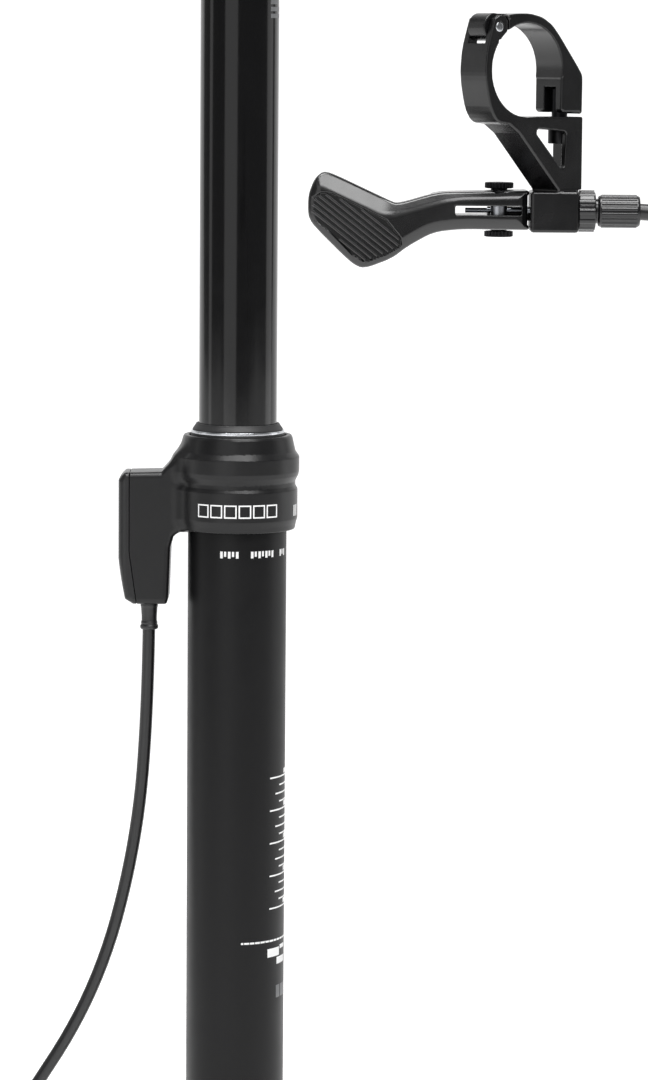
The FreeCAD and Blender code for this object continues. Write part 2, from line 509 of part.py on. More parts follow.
node("rocker_pin", rod("rocker_pin", "pin_dia / 2", "-boss_wide / 2 + 1.4", "boss_wide - 2.8",
                       at=(ROCKER_X, "rocker_up"), along="Y"))

LEVER_LOW = f"{VALVE_Z} - valve_lever_thick / 2"
ROD_LOW = f"{LEVER_LOW} - head_gap - head_thick"
rod_stem = rod("rod_stem", "rod_dia / 2", ROD_LOW, f"{TIP_TOP} + head_gap + head_thick - ({ROD_LOW})",
               at=(f"-({ROD_OUT})", 0))
rod_heads = [box("rod_head", (f"-({ROD_OUT}) - 0.7", f"-({ROD_OUT}) + 0.7"), ("-1.9", "1.9"), span)
             for span in ((f"{TIP_TOP} + head_gap", f"{TIP_TOP} + head_gap + head_thick"),
                          (ROD_LOW, f"{ROD_LOW} + head_thick"))]
node("release_rod", join("release_rod", [rod_stem] + rod_heads))

valve_bar = box("valve_bar", (f"-({ROD_OUT}) - 0.5", "valve_pivot"),
                ("-valve_lever_wide / 2", "valve_lever_wide / 2"), (LEVER_LOW, LEVER_TOP))
valve_hub = rod("valve_hub", "pin_dia / 2 + 1.2", "-valve_lever_wide / 2", "valve_lever_wide",
                at=("valve_pivot", VALVE_Z), along="Y")
valve_bore = rod("valve_bore", "pin_dia / 2 + running_gap", "-20", "40", at=("valve_pivot", VALVE_Z), along="Y")
valve_slot = box("valve_slot", ("-post_dia", f"-({ROD_OUT}) + 1.6"), ("-rod_dia / 2 - 0.25", "rod_dia / 2 + 0.25"),
                 (f"{VALVE_Z} - 5", f"{VALVE_Z} + 5"))
node("valve_lever", cut("valve_lever", join("valve_joined", [valve_bar, valve_hub]), [valve_bore, valve_slot]))

# the cable's end in the boss: nipple on the rocker's fork and the bare cable down to the housing
NIPPLE_UP = f"{TIP_TOP} + head_gap + nipple_dia / 2"
nipple_bar = rod("nipple_bar", "nipple_dia / 2", "-nipple_long / 2", "nipple_long",
                 at=(CABLE_X, NIPPLE_UP), along="Y")
nipple_bore = rod("nipple_bore", "cable_dia / 2", "0", "50", at=(CABLE_X, 0))
node("cable_nipple", cut("cable_nipple", nipple_bar, [nipple_bore]))
node("inner_cable_post", rod("inner_cable_post", "cable_dia / 2", "-boss_foot + ferrule_in + 0.2",
                             f"{NIPPLE_UP} + boss_foot - ferrule_in - 0.2", at=(CABLE_X, 0)))

# ---------------------------------------------------------------- lever assembly at the handlebar
LEVER_AT = ("lever_at_x", "lever_at_y", "lever_at_z")
BAR_AT = ("lever_at_x + bar_right", "lever_at_y - bar_front", "lever_at_z + bar_up")
BAR_TURN = Rotation(Vector(0, 0, 1), CLAMP_TURN)
BAR_R = "bar_dia / 2"


def at_lever(thing):
    """Carry a piece from the lever pivot's own frame to its place."""
    bound = dict(thing.ExpressionEngine)
    for letter, formula in zip("xyz", LEVER_AT):
        inner = bound.get(f".Placement.Base.{letter}", bound.get(f"Placement.Base.{letter}"))
        inner = inner or str(getattr(thing.Placement.Base, letter))
        thing.setExpression(f"Placement.Base.{letter}", f"({inner}) + {in_sheet(formula)}")
    doc.recompute()
    return thing


def at_bar(thing):
    """Carry a piece from the handlebar's own frame to its place."""
    inner = thing.Placement
    for letter in "xyz":
        thing.setExpression(f"Placement.Base.{letter}", None)
    thing.Placement = FreeCAD.Placement(Vector(*[size(f) for f in BAR_AT]), BAR_TURN) * inner
    return thing


def by_bar(*corners):
    """The clamp is drawn round a bar of 22.2 mm, and its corners move out with a thicker one."""
    return [tuple(f"{number} * bar_dia / 22.2" for number in corner) for corner in corners]


# clamp base with its bracket, in the bar's own frame: x across the bar, y along it, z up
HINGE = by_bar(("-hinge_out", "hinge_up"))[0]
CLAMP_BOLT = (by_bar(("clamp_bolt_out", "0"))[0][0], "-0.5")
# the bracket's foot is sunk into the block's top
FOOT = "block_top - bar_up - 0.4"
base_plate = plate("base_plate", by_bar(
    (-9.2, -12.5), (-11.4, -9.5), (-12.7, -4), (-13.1, 0), (-12.6, 5), (-11.4, 9), (-10.4, 12.1),
    ("-hinge_out", 12.8), (-6.4, 12.9), (-6.4, 6), (0, 0), (0, -11.1), (18, -11.1)) + [
    ("clamp_bolt_out * bar_dia / 22.2 + 3.8", FOOT), ("11.05", FOOT)] + by_bar((-2.3, -15), (-5.5, -12.9)),
    "band_long")
bar_bore = rod("bar_bore", BAR_R, "-50", "100", at=(0, 0), along="Y")
hinge_room = rod("hinge_room", "knuckle_round + 1.5", "-knuckle_wide / 2 - 0.1", "knuckle_wide + 0.2",
                 at=HINGE, along="Y")
hinge_corner = box("hinge_corner", (HINGE[0], f"{HINGE[0]} + 5"), ("-20", "20"),
                   (f"{HINGE[1]} - 5", f"{HINGE[1]} + 5"))
hinge_turn = rod("hinge_turn", "knuckle_round - 0.35", "-20", "40", at=HINGE, along="Y")
corner_cut = cut("corner_cut", hinge_corner, [hinge_turn])
window = plate("window", by_bar((2.2, -13.9), (12.7, -14.7), (12.2, -24.5)), "30")
bolt_room = plate("bolt_room", by_bar((4.6, -14.2), (17, -14.2), (17, -25), (12.4, -25)), "band_long", "1.6")
flange_bore = rod("flange_bore", "clamp_bolt_dia / 2 + 0.15", "-bar_dia", "bar_dia", at=CLAMP_BOLT)
pin_hole = rod("pin_hole", "hinge_pin_dia / 2", "-50", "100", at=HINGE, along="Y")
clamp_base = cut("clamp_base", base_plate, [bar_bore, hinge_room, corner_cut, window, bolt_room, flange_bore,
                                            pin_hole])
place(clamp_base, ("bar_right", "-bar_front", "bar_up"), BAR_TURN)

# block that carries the cable adjuster and the lever's tongue
block_blank = box("block_blank", ("block_near", "block_far"), ("-block_front", "block_rear"),
                  ("-block_bottom", "block_top"))
block_soft = rounded("block_soft", block_blank, 0.8, lambda e: abs(e.Vertexes[0].Z - e.Vertexes[-1].Z) < 0.01
                     and abs(e.Vertexes[0].Y - e.Vertexes[-1].Y) < 0.01)
tongue = box("tongue", ("0", "block_near + 1"), ("-2.9", "2.5"), ("-tongue_bottom", "tongue_top"))
tongue_eye = rod("tongue_eye", "2.9", "-tongue_bottom", "tongue_top + tongue_bottom")
body_joined = join("body_joined", [block_soft, tongue, tongue_eye, clamp_base])
ring_clear = box("ring_clear", ("block_far", "block_far + 20"), ("-30", "30"), ("0", "block_top + 0.35"))
cable_way = rod("cable_way", "cable_dia / 2 + 0.4", "0", "30", at=("-cable_line", 0), along="X")
adjuster_way = rod("adjuster_way", "thread_dia / 2 + running_gap", "block_near + 3", "30",
                   at=("-cable_line", 0), along="X")
bush_way = rod("bush_way", "pivot_dia / 2 + bush_wall", "-10", "20")
node("remote_body", at_lever(cut("remote_body", body_joined, [ring_clear, cable_way, adjuster_way, bush_way])))
node("pivot_bush", at_lever(tube("pivot_bush", "pivot_dia / 2 + bush_wall", "pivot_dia / 2 + running_gap",
                                 "-tongue_bottom", "tongue_top")))

# hinged half of the clamp; its foot is open towards the bar where the bolt stands
door_plate = plate("door_plate", by_bar(
    (-6, 6), (-6, 13), (-3, 13.4), (1, 13.4), (4.9, 12.6), (8.6, 10.4), (17.6, -0.6), (17.9, -2), (17.8, -10.1),
    (11.6, -10.1), (11, -9.5), (11, -2), (0, 0)), "band_long")
door_knuckle = rod("door_knuckle", "knuckle_round", "-knuckle_wide / 2", "knuckle_wide", at=HINGE, along="Y")
door_link = box("door_link", (HINGE[0], "-5"), ("-knuckle_wide / 2", "knuckle_wide / 2"),
                (HINGE[1], f"{HINGE[1]} + 3.1"))
door_joined = join("door_joined", [door_plate, door_knuckle, door_link])
bolt_seat = rod("bolt_seat", "clamp_bolt_dia / 2 + 0.15", "-bar_dia * 0.68", "bar_dia / 2", at=CLAMP_BOLT)
bolt_leave = box("bolt_leave", ("0", CLAMP_BOLT[0]),
                 ("-0.5 - clamp_bolt_dia / 2 - 0.15", "-0.5 + clamp_bolt_dia / 2 + 0.15"),
                 ("-bar_dia * 0.68", "-bar_dia * 0.18"))
door_pin = rod("door_pin", "hinge_pin_dia / 2 + running_gap", "-50", "100", at=HINGE, along="Y")
node("clamp_door", at_bar(cut("clamp_door", door_joined, [bar_bore, door_pin, bolt_seat, bolt_leave])))
node("hinge_pin", at_bar(rod("hinge_pin", "hinge_pin_dia / 2", "-band_long / 2", "band_long", at=HINGE, along="Y")))
HEAD_UP = "-14.2 * bar_dia / 22.2"
clamp_shank = rod("clamp_shank", "clamp_bolt_dia / 2", f"{HEAD_UP} - 0.8", "10.6", at=CLAMP_BOLT)
clamp_head = rod("clamp_head", "2.7", f"{HEAD_UP} - 3.4", "3.4", at=CLAMP_BOLT)
node("clamp_bolt", at_bar(join("clamp_bolt", [clamp_shank, clamp_head])))

# thumb lever: hub round the tongue, slot for the cable's end, arm and paddle
hub_outline = [("6.6", "-4.6"), ("6.6", "4.9"), ("-9.4", "4.5"), ("-15.3", "4.3"), ("-19", "3.2"),
               ("-19", "-6.9"), ("-16.1", "-5.3"), ("-9.4", "-4.5")]
hub_plate = plate("hub_plate", hub_outline, "13", "-3.5")
paddle_outline = [("-15", "4.3"), ("-24.7", "1.7"), ("-26.5", "2.2"), ("-40.4", "8.6"), ("-42.6", "8.9"),
                  ("-44.7", "7.2"), ("-46.2", "3.4"), ("-46.2", "-1.4"), ("-45", "-3.6"), ("-35.9", "-12.7"),
                  ("-32.8", "-14"), ("-26", "-11.5"), ("-22.3", "-8.8"), ("-15", "-4.9")]
paddle_plate = plate("paddle_plate", paddle_outline, "7", "-6.5")
hub_end = rod("hub_end", "block_near - 0.3", "-10", "20")
hub_front = box("hub_front", ("-1", "20"), ("-20", "0"), ("-10", "10"))
hub_left = box("hub_left", ("-20", "0"), ("-20", "20"), ("-10", "10"))
hub_trim = common("hub_trim", hub_plate, join("hub_zone", [hub_end, hub_front, hub_left]))
lever_joined = join("lever_joined", [hub_trim, paddle_plate])
tongue_room = rod("tongue_room", "3.2", "-tongue_bottom - 0.2", "tongue_bottom + tongue_top + 0.4")
tongue_open = box("tongue_open", ("-1.5", "20"), ("-3.2", "20"), ("-tongue_bottom - 0.2", "tongue_top + 0.2"))
lever_slot = box("lever_slot", ("-10.9", "5.1"), ("-20", "20"), ("-1.05", "1.15"))
anchor_well = rod("anchor_well", "barrel_end_dia / 2 + anchor_room", "-3.2", "20", at=("-0.3", "-cable_line"))
cable_room = box("cable_room", ("-11", "20"), ("-cable_line - 1.5", "-cable_line + 1.5"), ("-1.05", "1.15"))
cable_mouth = box("cable_mouth", ("2", "20"), ("-cable_line - 1.9", "-cable_line + 4.4"), ("-1.05", "1.15"))
pivot_way = rod("pivot_way", "pivot_dia / 2 + running_gap", "-20", "40")
spring_room = rod("spring_room", "3.7", "tongue_top", "2.2")
node("lever", at_lever(cut("lever", lever_joined, [tongue_room, tongue_open, lever_slot, anchor_well, cable_room,
                                                   cable_mouth, pivot_way, spring_room])))

bolt_stem = rod("bolt_stem", "pivot_dia / 2", "-block_bottom", "block_bottom + block_top + 0.5")
bolt_disc = rod("bolt_disc", "disc_dia / 2", "block_top + 0.35", "disc_tall")
pivot_socket = rod("pivot_socket", "1.25", "block_top + 0.8", "5")
node("pivot_bolt", at_lever(cut("pivot_bolt", join("pivot_joined", [bolt_stem, bolt_disc]), [pivot_socket])))
node("pivot_nut", at_lever(rod("pivot_nut", "disc_dia / 2", "-block_bottom - disc_tall", "disc_tall")))

# return spring round the pivot: two turns of flat wire
coil = doc.addObject("PartDesign::Body", "lever_spring")
coil_wire = sketch_of(coil, "coil_wire", "XZ_Plane", [
    ("coil_in", "tongue_top + 0.12"), ("coil_in + coil_thick", "tongue_top + 0.12"),
    ("coil_in + coil_thick", "tongue_top + 0.12 + coil_wire"), ("coil_in", "tongue_top + 0.12 + coil_wire")])
coil_turn = coil.newObject("PartDesign::AdditiveHelix", "coil_turn")
coil_turn.Profile = coil_wire
coil_turn.ReferenceAxis = (coil_wire, ["V_Axis"])
coil_turn.Mode = "pitch-height-angle"
bind(coil_turn, "Pitch", "coil_pitch")
bind(coil_turn, "Height", "coil_pitch * coil_turns")
doc.recompute()
node("lever_spring", at_lever(coil))

# the cable's end at the lever: barrel with its grub screw, and the bare cable into the block
anchor_bar = rod("anchor_bar", "barrel_end_dia / 2", "-3", "6.6", at=("-0.3", "-cable_line"))
anchor_bore = rod("anchor_bore", "cable_dia / 2", "-9", "20", at=("-cable_line", 0), along="X")
screw_bore = rod("screw_bore", "1", "cable_dia / 2 + 0.2", "5", at=("-0.3", "-cable_line"))
node("cable_anchor", at_lever(cut("cable_anchor", anchor_bar, [anchor_bore, screw_bore])))
node("anchor_screw", at_lever(rod("anchor_screw", "1", "cable_dia / 2 + 0.2", "2.8", at=("-0.3", "-cable_line"))))
node("inner_cable_lever", at_lever(rod("inner_cable_lever", "cable_dia / 2", "-8.4", "22",
                                       at=("-cable_line", 0), along="X")))

# barrel adjuster with its lock ring
locker = rod("locker", "locker_dia / 2", "block_far + seat_gap", "locker_long", at=("-cable_line", 0), along="X")
locker_bore = rod("locker_bore", "thread_dia / 2 + running_gap", "0", "60", at=("-cable_line", 0), along="X")
node("lock_ring", at_lever(cut("lock_ring", locker, [locker_bore])))
ADJ_LOW = "block_far + locker_long + adjuster_gap"
adj_thread = rod("adj_thread", "thread_dia / 2", "block_near + 7", f"{ADJ_LOW} - block_near - 6.5",
                 at=("-cable_line", 0), along="X")
adj_grip = rod("adj_grip", "adjuster_dia / 2", ADJ_LOW, "adjuster_long", at=("-cable_line", 0), along="X")
adj_cable = rod("adj_cable", "cable_dia / 2 + 0.4", "0", "60", at=("-cable_line", 0), along="X")
adj_socket = rod("adj_socket", "ferrule_dia / 2 + seat_gap", f"{ADJ_LOW} + adjuster_long - 7", "20",
                 at=("-cable_line", 0), along="X")
node("barrel_adjuster", at_lever(cut("barrel_adjuster", join("adj_joined", [adj_thread, adj_grip]),
                                     [adj_cable, adj_socket])))
END_X = f"{ADJ_LOW} + adjuster_long"
far_bar = rod("far_bar", "ferrule_dia / 2", f"{END_X} - 7", "7", at=("-cable_line", 0), along="X")
far_bore = rod("far_bore", "housing_dia / 2 + seat_gap", f"{END_X} - 6", "20", at=("-cable_line", 0), along="X")
far_eye = rod("far_eye", "cable_dia / 2 + 0.4", "0", "90", at=("-cable_line", 0), along="X")
node("lever_ferrule", at_lever(cut("lever_ferrule", far_bar, [far_bore, far_eye])))

near_bar = rod("near_bar", "ferrule_dia / 2", "-boss_foot - ferrule_below", "ferrule_below + ferrule_in - 0.4",
               at=(CABLE_X, 0))
near_bore = rod("near_bore", "housing_dia / 2 + seat_gap", "-boss_foot - ferrule_below - 1", "ferrule_below + 7.6",
                at=(CABLE_X, 0))
near_eye = rod("near_eye", "cable_dia / 2 + 0.4", "-100", "200", at=(CABLE_X, 0))
node("post_ferrule", cut("post_ferrule", near_bar, [near_bore, near_eye]))

# ---------------------------------------------------------------- cable housing, from boss to adjuster
HOUSING_END = Vector(*[size(f) for f in LEVER_AT]) + Vector(size(f"{END_X} - 6"), -size("cable_line"), 0)
HOUSING_ROUTE = [
    Vector(size(CABLE_X), 0, -size("boss_foot") + 6.6), Vector(size(CABLE_X), 0, -50), Vector(-31, 0, -100),
    Vector(-44, 0, -149), Vector(-70, -1, -190), Vector(-98, -8, -231), Vector(-112, -30, -277),
    Vector(-109, -64, -314), Vector(-86, -104, -334), Vector(-50, -142, -341), Vector(-8, -176, -338),
    Vector(36, -206, -324), Vector(78, -232, -298), Vector(112, -251, -261), Vector(137, -264, -214),
    Vector(151, -272, -161), Vector(157, -277, -105), Vector(159, -279, -49), Vector(159, -280, 5),
    Vector(156, -279, 54), Vector(147, -278, 91), HOUSING_END + Vector(30, 0, 0), HOUSING_END]


def bent_path(points):
    """Straight runs joined by tangent arcs, each as large as its two runs allow."""
    edges, here, length, radii = [], points[0], 0.0, []
    for before, corner, after in zip(points, points[1:], points[2:]):
        come, go = corner - before, after - corner
        turn = come.getAngle(go)
        reach = 0.45 * min(come.Length, go.Length)
        start = corner - come * (reach / come.Length)
        end = corner + go * (reach / go.Length)
        radius = reach / math.tan(turn / 2)
        inward = (go * (1 / go.Length) - come * (1 / come.Length)).normalize()
        middle = corner + inward * (radius / math.cos(turn / 2) - radius)
        edges += [Part.LineSegment(here, start).toShape(), Part.Arc(start, middle, end).toShape()]
        length += (start - here).Length + radius * turn
        radii.append(radius)
        here = end
    edges.append(Part.LineSegment(here, points[-1]).toShape())
    return Part.Wire(edges), length + (points[-1] - here).Length, radii


path_wire, housing_length, bend_radii = bent_path(HOUSING_ROUTE)
path = doc.addObject("Part::Feature", "housing_path")
path.Shape = path_wire
section = doc.addObject("Part::Circle", "housing_section")
bind(section, "Radius", "housing_dia / 2")
first_run = HOUSING_ROUTE[1] - HOUSING_ROUTE[0]
section.Placement = FreeCAD.Placement(HOUSING_ROUTE[0], Rotation(Vector(0, 0, 1), first_run))
housing = doc.addObject("Part::Sweep", "cable_housing")
housing.Sections = [section]
housing.Spine = (path, [f"Edge{i}" for i in range(1, len(path_wire.Edges) + 1)])
housing.Solid = True
housing.Frenet = False
node("cable_housing", housing)

# ---------------------------------------------------------------- checks and export
doc.recompute()
for thing in doc.Objects:
    if "Invalid" in thing.State or "Error" in thing.State:
        raise RuntimeError(f"{thing.Name} failed: {thing.State}")
for thing in NODES:
    wanted = size("key_count") if thing.Label == "guide_keys" else 1
    if thing.Shape.isNull() or not thing.Shape.isValid() or len(thing.Shape.Solids) != wanted:
        raise RuntimeError(f"{thing.Label} has {len(thing.Shape.Solids)} solids, not {wanted:g}, or isn't valid")
expected = math.pi * (size("housing_dia") / 2) ** 2 * housing_length
print("housing length", round(housing_length, 1), "bend radii", [round(r) for r in bend_radii],
      "volume ratio", round(housing.Shape.Volume / expected, 4))

os.makedirs("parts", exist_ok=True)
for thing in NODES:
    thing.Shape.exportStep(f"parts/{thing.Label}.step")
print(len(NODES), "nodes written")
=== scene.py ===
import bpy
import math
import numpy as np
from mathutils import Matrix, Vector


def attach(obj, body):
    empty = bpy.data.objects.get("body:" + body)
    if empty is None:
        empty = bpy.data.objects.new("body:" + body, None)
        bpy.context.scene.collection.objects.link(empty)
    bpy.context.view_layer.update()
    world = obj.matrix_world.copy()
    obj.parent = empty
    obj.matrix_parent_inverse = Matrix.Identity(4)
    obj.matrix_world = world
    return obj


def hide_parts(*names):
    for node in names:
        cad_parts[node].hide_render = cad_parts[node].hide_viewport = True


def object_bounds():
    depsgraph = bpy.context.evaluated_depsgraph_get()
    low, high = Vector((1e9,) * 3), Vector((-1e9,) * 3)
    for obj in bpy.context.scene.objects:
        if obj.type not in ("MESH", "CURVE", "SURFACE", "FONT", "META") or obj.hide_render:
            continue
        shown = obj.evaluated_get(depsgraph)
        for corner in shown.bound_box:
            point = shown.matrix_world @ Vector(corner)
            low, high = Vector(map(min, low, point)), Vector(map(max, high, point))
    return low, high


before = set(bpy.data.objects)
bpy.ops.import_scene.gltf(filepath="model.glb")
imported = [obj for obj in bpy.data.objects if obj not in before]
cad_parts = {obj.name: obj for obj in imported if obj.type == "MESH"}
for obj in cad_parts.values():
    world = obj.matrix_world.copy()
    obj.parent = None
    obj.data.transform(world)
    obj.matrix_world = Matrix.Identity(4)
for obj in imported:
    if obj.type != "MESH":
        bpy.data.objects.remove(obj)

CAD_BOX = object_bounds()

# The view: a long lens, level with the collar and a little above it, looking down by seven degrees.
LOOK_DOWN, ROLL = 0.12034, 0.0077981
ahead = Vector((0, math.cos(LOOK_DOWN), -math.sin(LOOK_DOWN)))
above = Vector((0, math.sin(LOOK_DOWN), math.cos(LOOK_DOWN)))
aside = Vector((1, 0, 0))
lens_right = math.cos(ROLL) * aside + math.sin(ROLL) * above
lens_up = math.cos(ROLL) * above - math.sin(ROLL) * aside
camera = bpy.data.objects.new("camera", bpy.data.cameras.new("camera"))
camera.data.sensor_width = 36
camera.data.lens = 135.1
camera.matrix_world = Matrix((lens_right, lens_up, -ahead)).transposed().to_4x4()
camera.matrix_world.translation = Vector((0.02719, -1.26065, 0.14871))
bpy.context.scene.collection.objects.link(camera)
bpy.context.scene.camera = camera

# ------------------------ cable housing and its ferrules
# The housing is a steel-wound cable outer under black extruded polyethylene, 4 mm thick. A crimped
# ferrule ends it at each side: one sits in the boss under the collar, one in the barrel adjuster.
MM = 0.001


def linear(hexcode):
    """A colour written as sRGB hex, turned to the linear values that a shader works in."""
    parts = [int(hexcode[i:i + 2], 16) / 255 for i in (1, 3, 5)]
    return [p / 12.92 if p <= 0.04045 else ((p + 0.055) / 1.055) ** 2.4 for p in parts] + [1.0]


def add(tree, kind, inputs=None, **settings):
    """Put one node in a tree, with its settings, and its inputs as numbers or as sockets to link."""
    made = tree.nodes.new(kind)
    for word, setting in settings.items():
        setattr(made, word, setting)
    for key, given in (inputs or {}).items():
        if isinstance(given, bpy.types.NodeSocket):
            tree.links.new(given, made.inputs[key])
        else:
            made.inputs[key].default_value = given
    return made


def finish(name, colour, worn, metallic, roughness, grain_mm, depth, spread=0.06, ior=1.5, streak=None,
           **more):
    """A finished surface: its own colour drifting towards a worn one, its gloss drifting by spread,
    and a relief of grain_mm across and depth high. streak stretches the grain along one axis."""
    material = bpy.data.materials.new(name)
    material.use_nodes = True
    tree = material.node_tree
    shader = tree.nodes["Principled BSDF"]
    shader.inputs["Metallic"].default_value = metallic
    if metallic < 0.5:
        shader.inputs["IOR"].default_value = ior
    for word, number in more.items():
        shader.inputs[word.replace("_", " ")].default_value = number
    spot = add(tree, "ShaderNodeTexCoord").outputs["Object"]
    grain_at = spot
    if streak:
        grain_at = add(tree, "ShaderNodeMapping", {"Vector": spot, "Scale": streak}).outputs["Vector"]
    drift = add(tree, "ShaderNodeTexNoise", {"Vector": spot, "Scale": 90.0, "Detail": 3.0, "Roughness": 0.6})
    grain = add(tree, "ShaderNodeTexNoise", {"Vector": grain_at, "Scale": 1 / (grain_mm * MM), "Detail": 2.0})
    tint = add(tree, "ShaderNodeMix", {0: drift.outputs["Fac"], 6: linear(colour), 7: linear(worn)},
               data_type="RGBA")
    gloss = add(tree, "ShaderNodeMapRange", {"Value": drift.outputs["Fac"], "From Min": 0.3, "From Max": 0.7,
                        "To Min": roughness - spread, "To Max": roughness + spread})
    relief = add(tree, "ShaderNodeBump", {"Height": grain.outputs["Fac"], "Distance": depth * MM,
                        "Strength": 1.0})
    tree.links.new(tint.outputs[2], shader.inputs["Base Color"])
    tree.links.new(gloss.outputs["Result"], shader.inputs["Roughness"])
    tree.links.new(relief.outputs["Normal"], shader.inputs["Normal"])
    return material


def ready(piece, body, material=None, stands_for=(), smooth=40):
    """Shade a piece, let it ride on its body, and hide the CAD nodes it stands for."""
    if piece.name not in bpy.context.scene.collection.objects:
        bpy.context.scene.collection.objects.link(piece)
    if material is not None:
        piece.data.materials.clear()
        piece.data.materials.append(material)
    if piece.type == "MESH" and smooth:
        piece.data.shade_smooth()
        if smooth < 180:
            piece.data.set_sharp_from_angle(angle=math.radians(smooth))
    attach(piece, body)
    if stands_for:
        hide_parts(*stands_for)
    return piece


HOUSING_END = (96.9, -277.9, 110.5)
HOUSING_ROUTE = [
    (-27.5, 0, -17), (-27.5, 0, -50), (-31, 0, -100), (-44, 0, -149), (-70, -1, -190), (-98, -8, -231),
    (-112, -30, -277), (-109, -64, -314), (-86, -104, -334), (-50, -142, -341), (-8, -176, -338),
    (36, -206, -324), (78, -232, -298), (112, -251, -261), (137, -264, -214), (151, -272, -161),
    (157, -277, -105), (159, -279, -49), (159, -280, 5), (156, -279, 54), (147, -278, 91),
    (126.9, -277.9, 110.5), HOUSING_END]
housing_line = bpy.data.curves.new("housing", "CURVE")
housing_line.dimensions = "3D"
housing_line.bevel_depth = 2.0 * MM
housing_line.bevel_resolution = 6
housing_line.resolution_u = 10
housing_line.use_fill_caps = True
thread = housing_line.splines.new("NURBS")
thread.points.add(len(HOUSING_ROUTE) - 1)
for point, spot in zip(thread.points, HOUSING_ROUTE):
    point.co = (spot[0] * MM, spot[1] * MM, spot[2] * MM, 1)
thread.order_u = 3
thread.use_endpoint_u = True
housing = bpy.data.objects.new("housing", housing_line)
# extruded black polyethylene: low sheen, faint drawing marks
polyethylene = finish("black extruded polyethylene", "#111112", "#171718", 0.0, 0.36, 0.9, 0.006, ior=1.51)
ready(housing, "post", polyethylene, ["cable_housing"])


def lathe(name, corners, around=96, at=(0, 0, 0), along="Z", closed=True, soft=0.15, steps=3):
    """A piece turned from (radius, height) corners in millimetres; soft rounds each corner a little."""
    ring = []
    count = len(corners)
    for i, here in enumerate(corners):
        before, after = corners[i - 1], corners[(i + 1) % count]
        a, b = Vector(before) - Vector(here), Vector(after) - Vector(here)
        room = min(soft, 0.45 * a.length, 0.45 * b.length)
        edge = here[0] < 1e-6 or (not closed and i in (0, count - 1))
        if room < 0.01 or edge:
            ring.append(Vector(here))
            continue
        start, end = Vector(here) + a.normalized() * room, Vector(here) + b.normalized() * room
        for k in range(steps + 1):
            t = k / steps
            ring.append(start * (1 - t) ** 2 + Vector(here) * 2 * t * (1 - t) + end * t ** 2)
    turn = {"Z": lambda r, h, c, s: (r * c, r * s, h), "X": lambda r, h, c, s: (h, r * c, r * s),
            "Y": lambda r, h, c, s: (r * s, h, r * c)}[along]
    points, faces = [], []
    rows = len(ring)
    first = []
    for p in ring:
        if p.x < 1e-6:
            first.append([len(points)] * around)
            points.append(turn(0, p.y, 1, 0))
        else:
            first.append(list(range(len(points), len(points) + around)))
            points += [turn(p.x, p.y, math.cos(math.tau * k / around), math.sin(math.tau * k / around))
                       for k in range(around)]
    for i in range(rows if closed else rows - 1):
        low, high = first[i], first[(i + 1) % rows]
        for k in range(around):
            n = (k + 1) % around
            quad = [low[k], low[n], high[n], high[k]]
            quad = list(dict.fromkeys(quad))
            if len(quad) > 2:
                faces.append(quad)
    mesh = bpy.data.meshes.new(name)
    mesh.from_pydata([((x + at[0]) * MM, (y + at[1]) * MM, (z + at[2]) * MM) for x, y, z in points], [],
                     faces)
    mesh.validate()
    face_outwards(mesh)
    return bpy.data.objects.new(name, mesh)


def face_outwards(mesh):
    """Turn a closed mesh's faces outwards."""
    import bmesh
    work = bmesh.new()
    work.from_mesh(mesh)
    bmesh.ops.remove_doubles(work, verts=work.verts, dist=1e-7)
    bmesh.ops.recalc_face_normals(work, faces=work.faces)
    if work.calc_volume(signed=True) < 0:
        bmesh.ops.reverse_faces(work, faces=work.faces)
    work.to_mesh(mesh)
    work.free()


# glass-filled nylon ferrules: dull, a little mould texture
ferrule_nylon = finish("moulded glass-filled nylon", "#161617", "#1e1e20", 0.0, 0.45, 0.5, 0.012, ior=1.53)
ferrule_shape = [(0.9, 8.9), (2.6, 8.9), (2.6, 0), (2.75, -0.3), (2.75, -1.2), (2.6, -1.7), (2.5, -3.2),
                 (2.4, -4.6),
                 (2.4, -5.9), (2.62, -6.5), (2.5, -7.0), (2.84, -7.5), (2.84, -8.2), (2.6, -8.6),
                 (2.06, -8.6),
                 (2.06, 6.6), (0.9, 6.6)]
post_ferrule = lathe("boss_ferrule", ferrule_shape, 64, at=(-27.5, 0, -23.6), soft=0.12)
ready(post_ferrule, "post", ferrule_nylon, ["post_ferrule"])
lever_ferrule = lathe("adjuster_ferrule", [(1.0, -7), (2.64, -7), (2.64, 0), (2.03, 0), (2.03, -6),
                        (1.0, -6)], 48,
                      at=(102.9, -277.9, 110.5), along="X", soft=0.1)
ready(lever_ferrule, "post", ferrule_nylon, ["lever_ferrule"])

# ------------------------ fixed tube with its printed scale
# The seatpost's lower tube is drawn aluminium, 30.9 mm outside, bead-blasted and satin black anodised.
# A height scale, the insertion line and blank bars are pad-printed on it in white ink.
def grown(name, base, tree, values, material=None):
    """Run a node tree on a base mesh, with its named inputs set, and keep the result as a plain mesh."""
    held = bpy.data.objects.new(name + "_base", base)
    bpy.context.scene.collection.objects.link(held)
    live = held.modifiers.new("grow", "NODES")
    live.node_group = tree
    for socket in tree.interface.items_tree:
        if socket.in_out == "INPUT" and socket.name in values:
            live[socket.identifier] = values[socket.name]
    bpy.context.view_layer.update()
    seen_by = bpy.context.evaluated_depsgraph_get()
    mesh = bpy.data.meshes.new_from_object(held.evaluated_get(seen_by))
    held.modifiers.remove(live)
    bpy.data.objects.remove(held)
    mesh.name = name
    face_outwards(mesh)
    made = bpy.data.objects.new(name, mesh)
    bpy.context.scene.collection.objects.link(made)
    return made


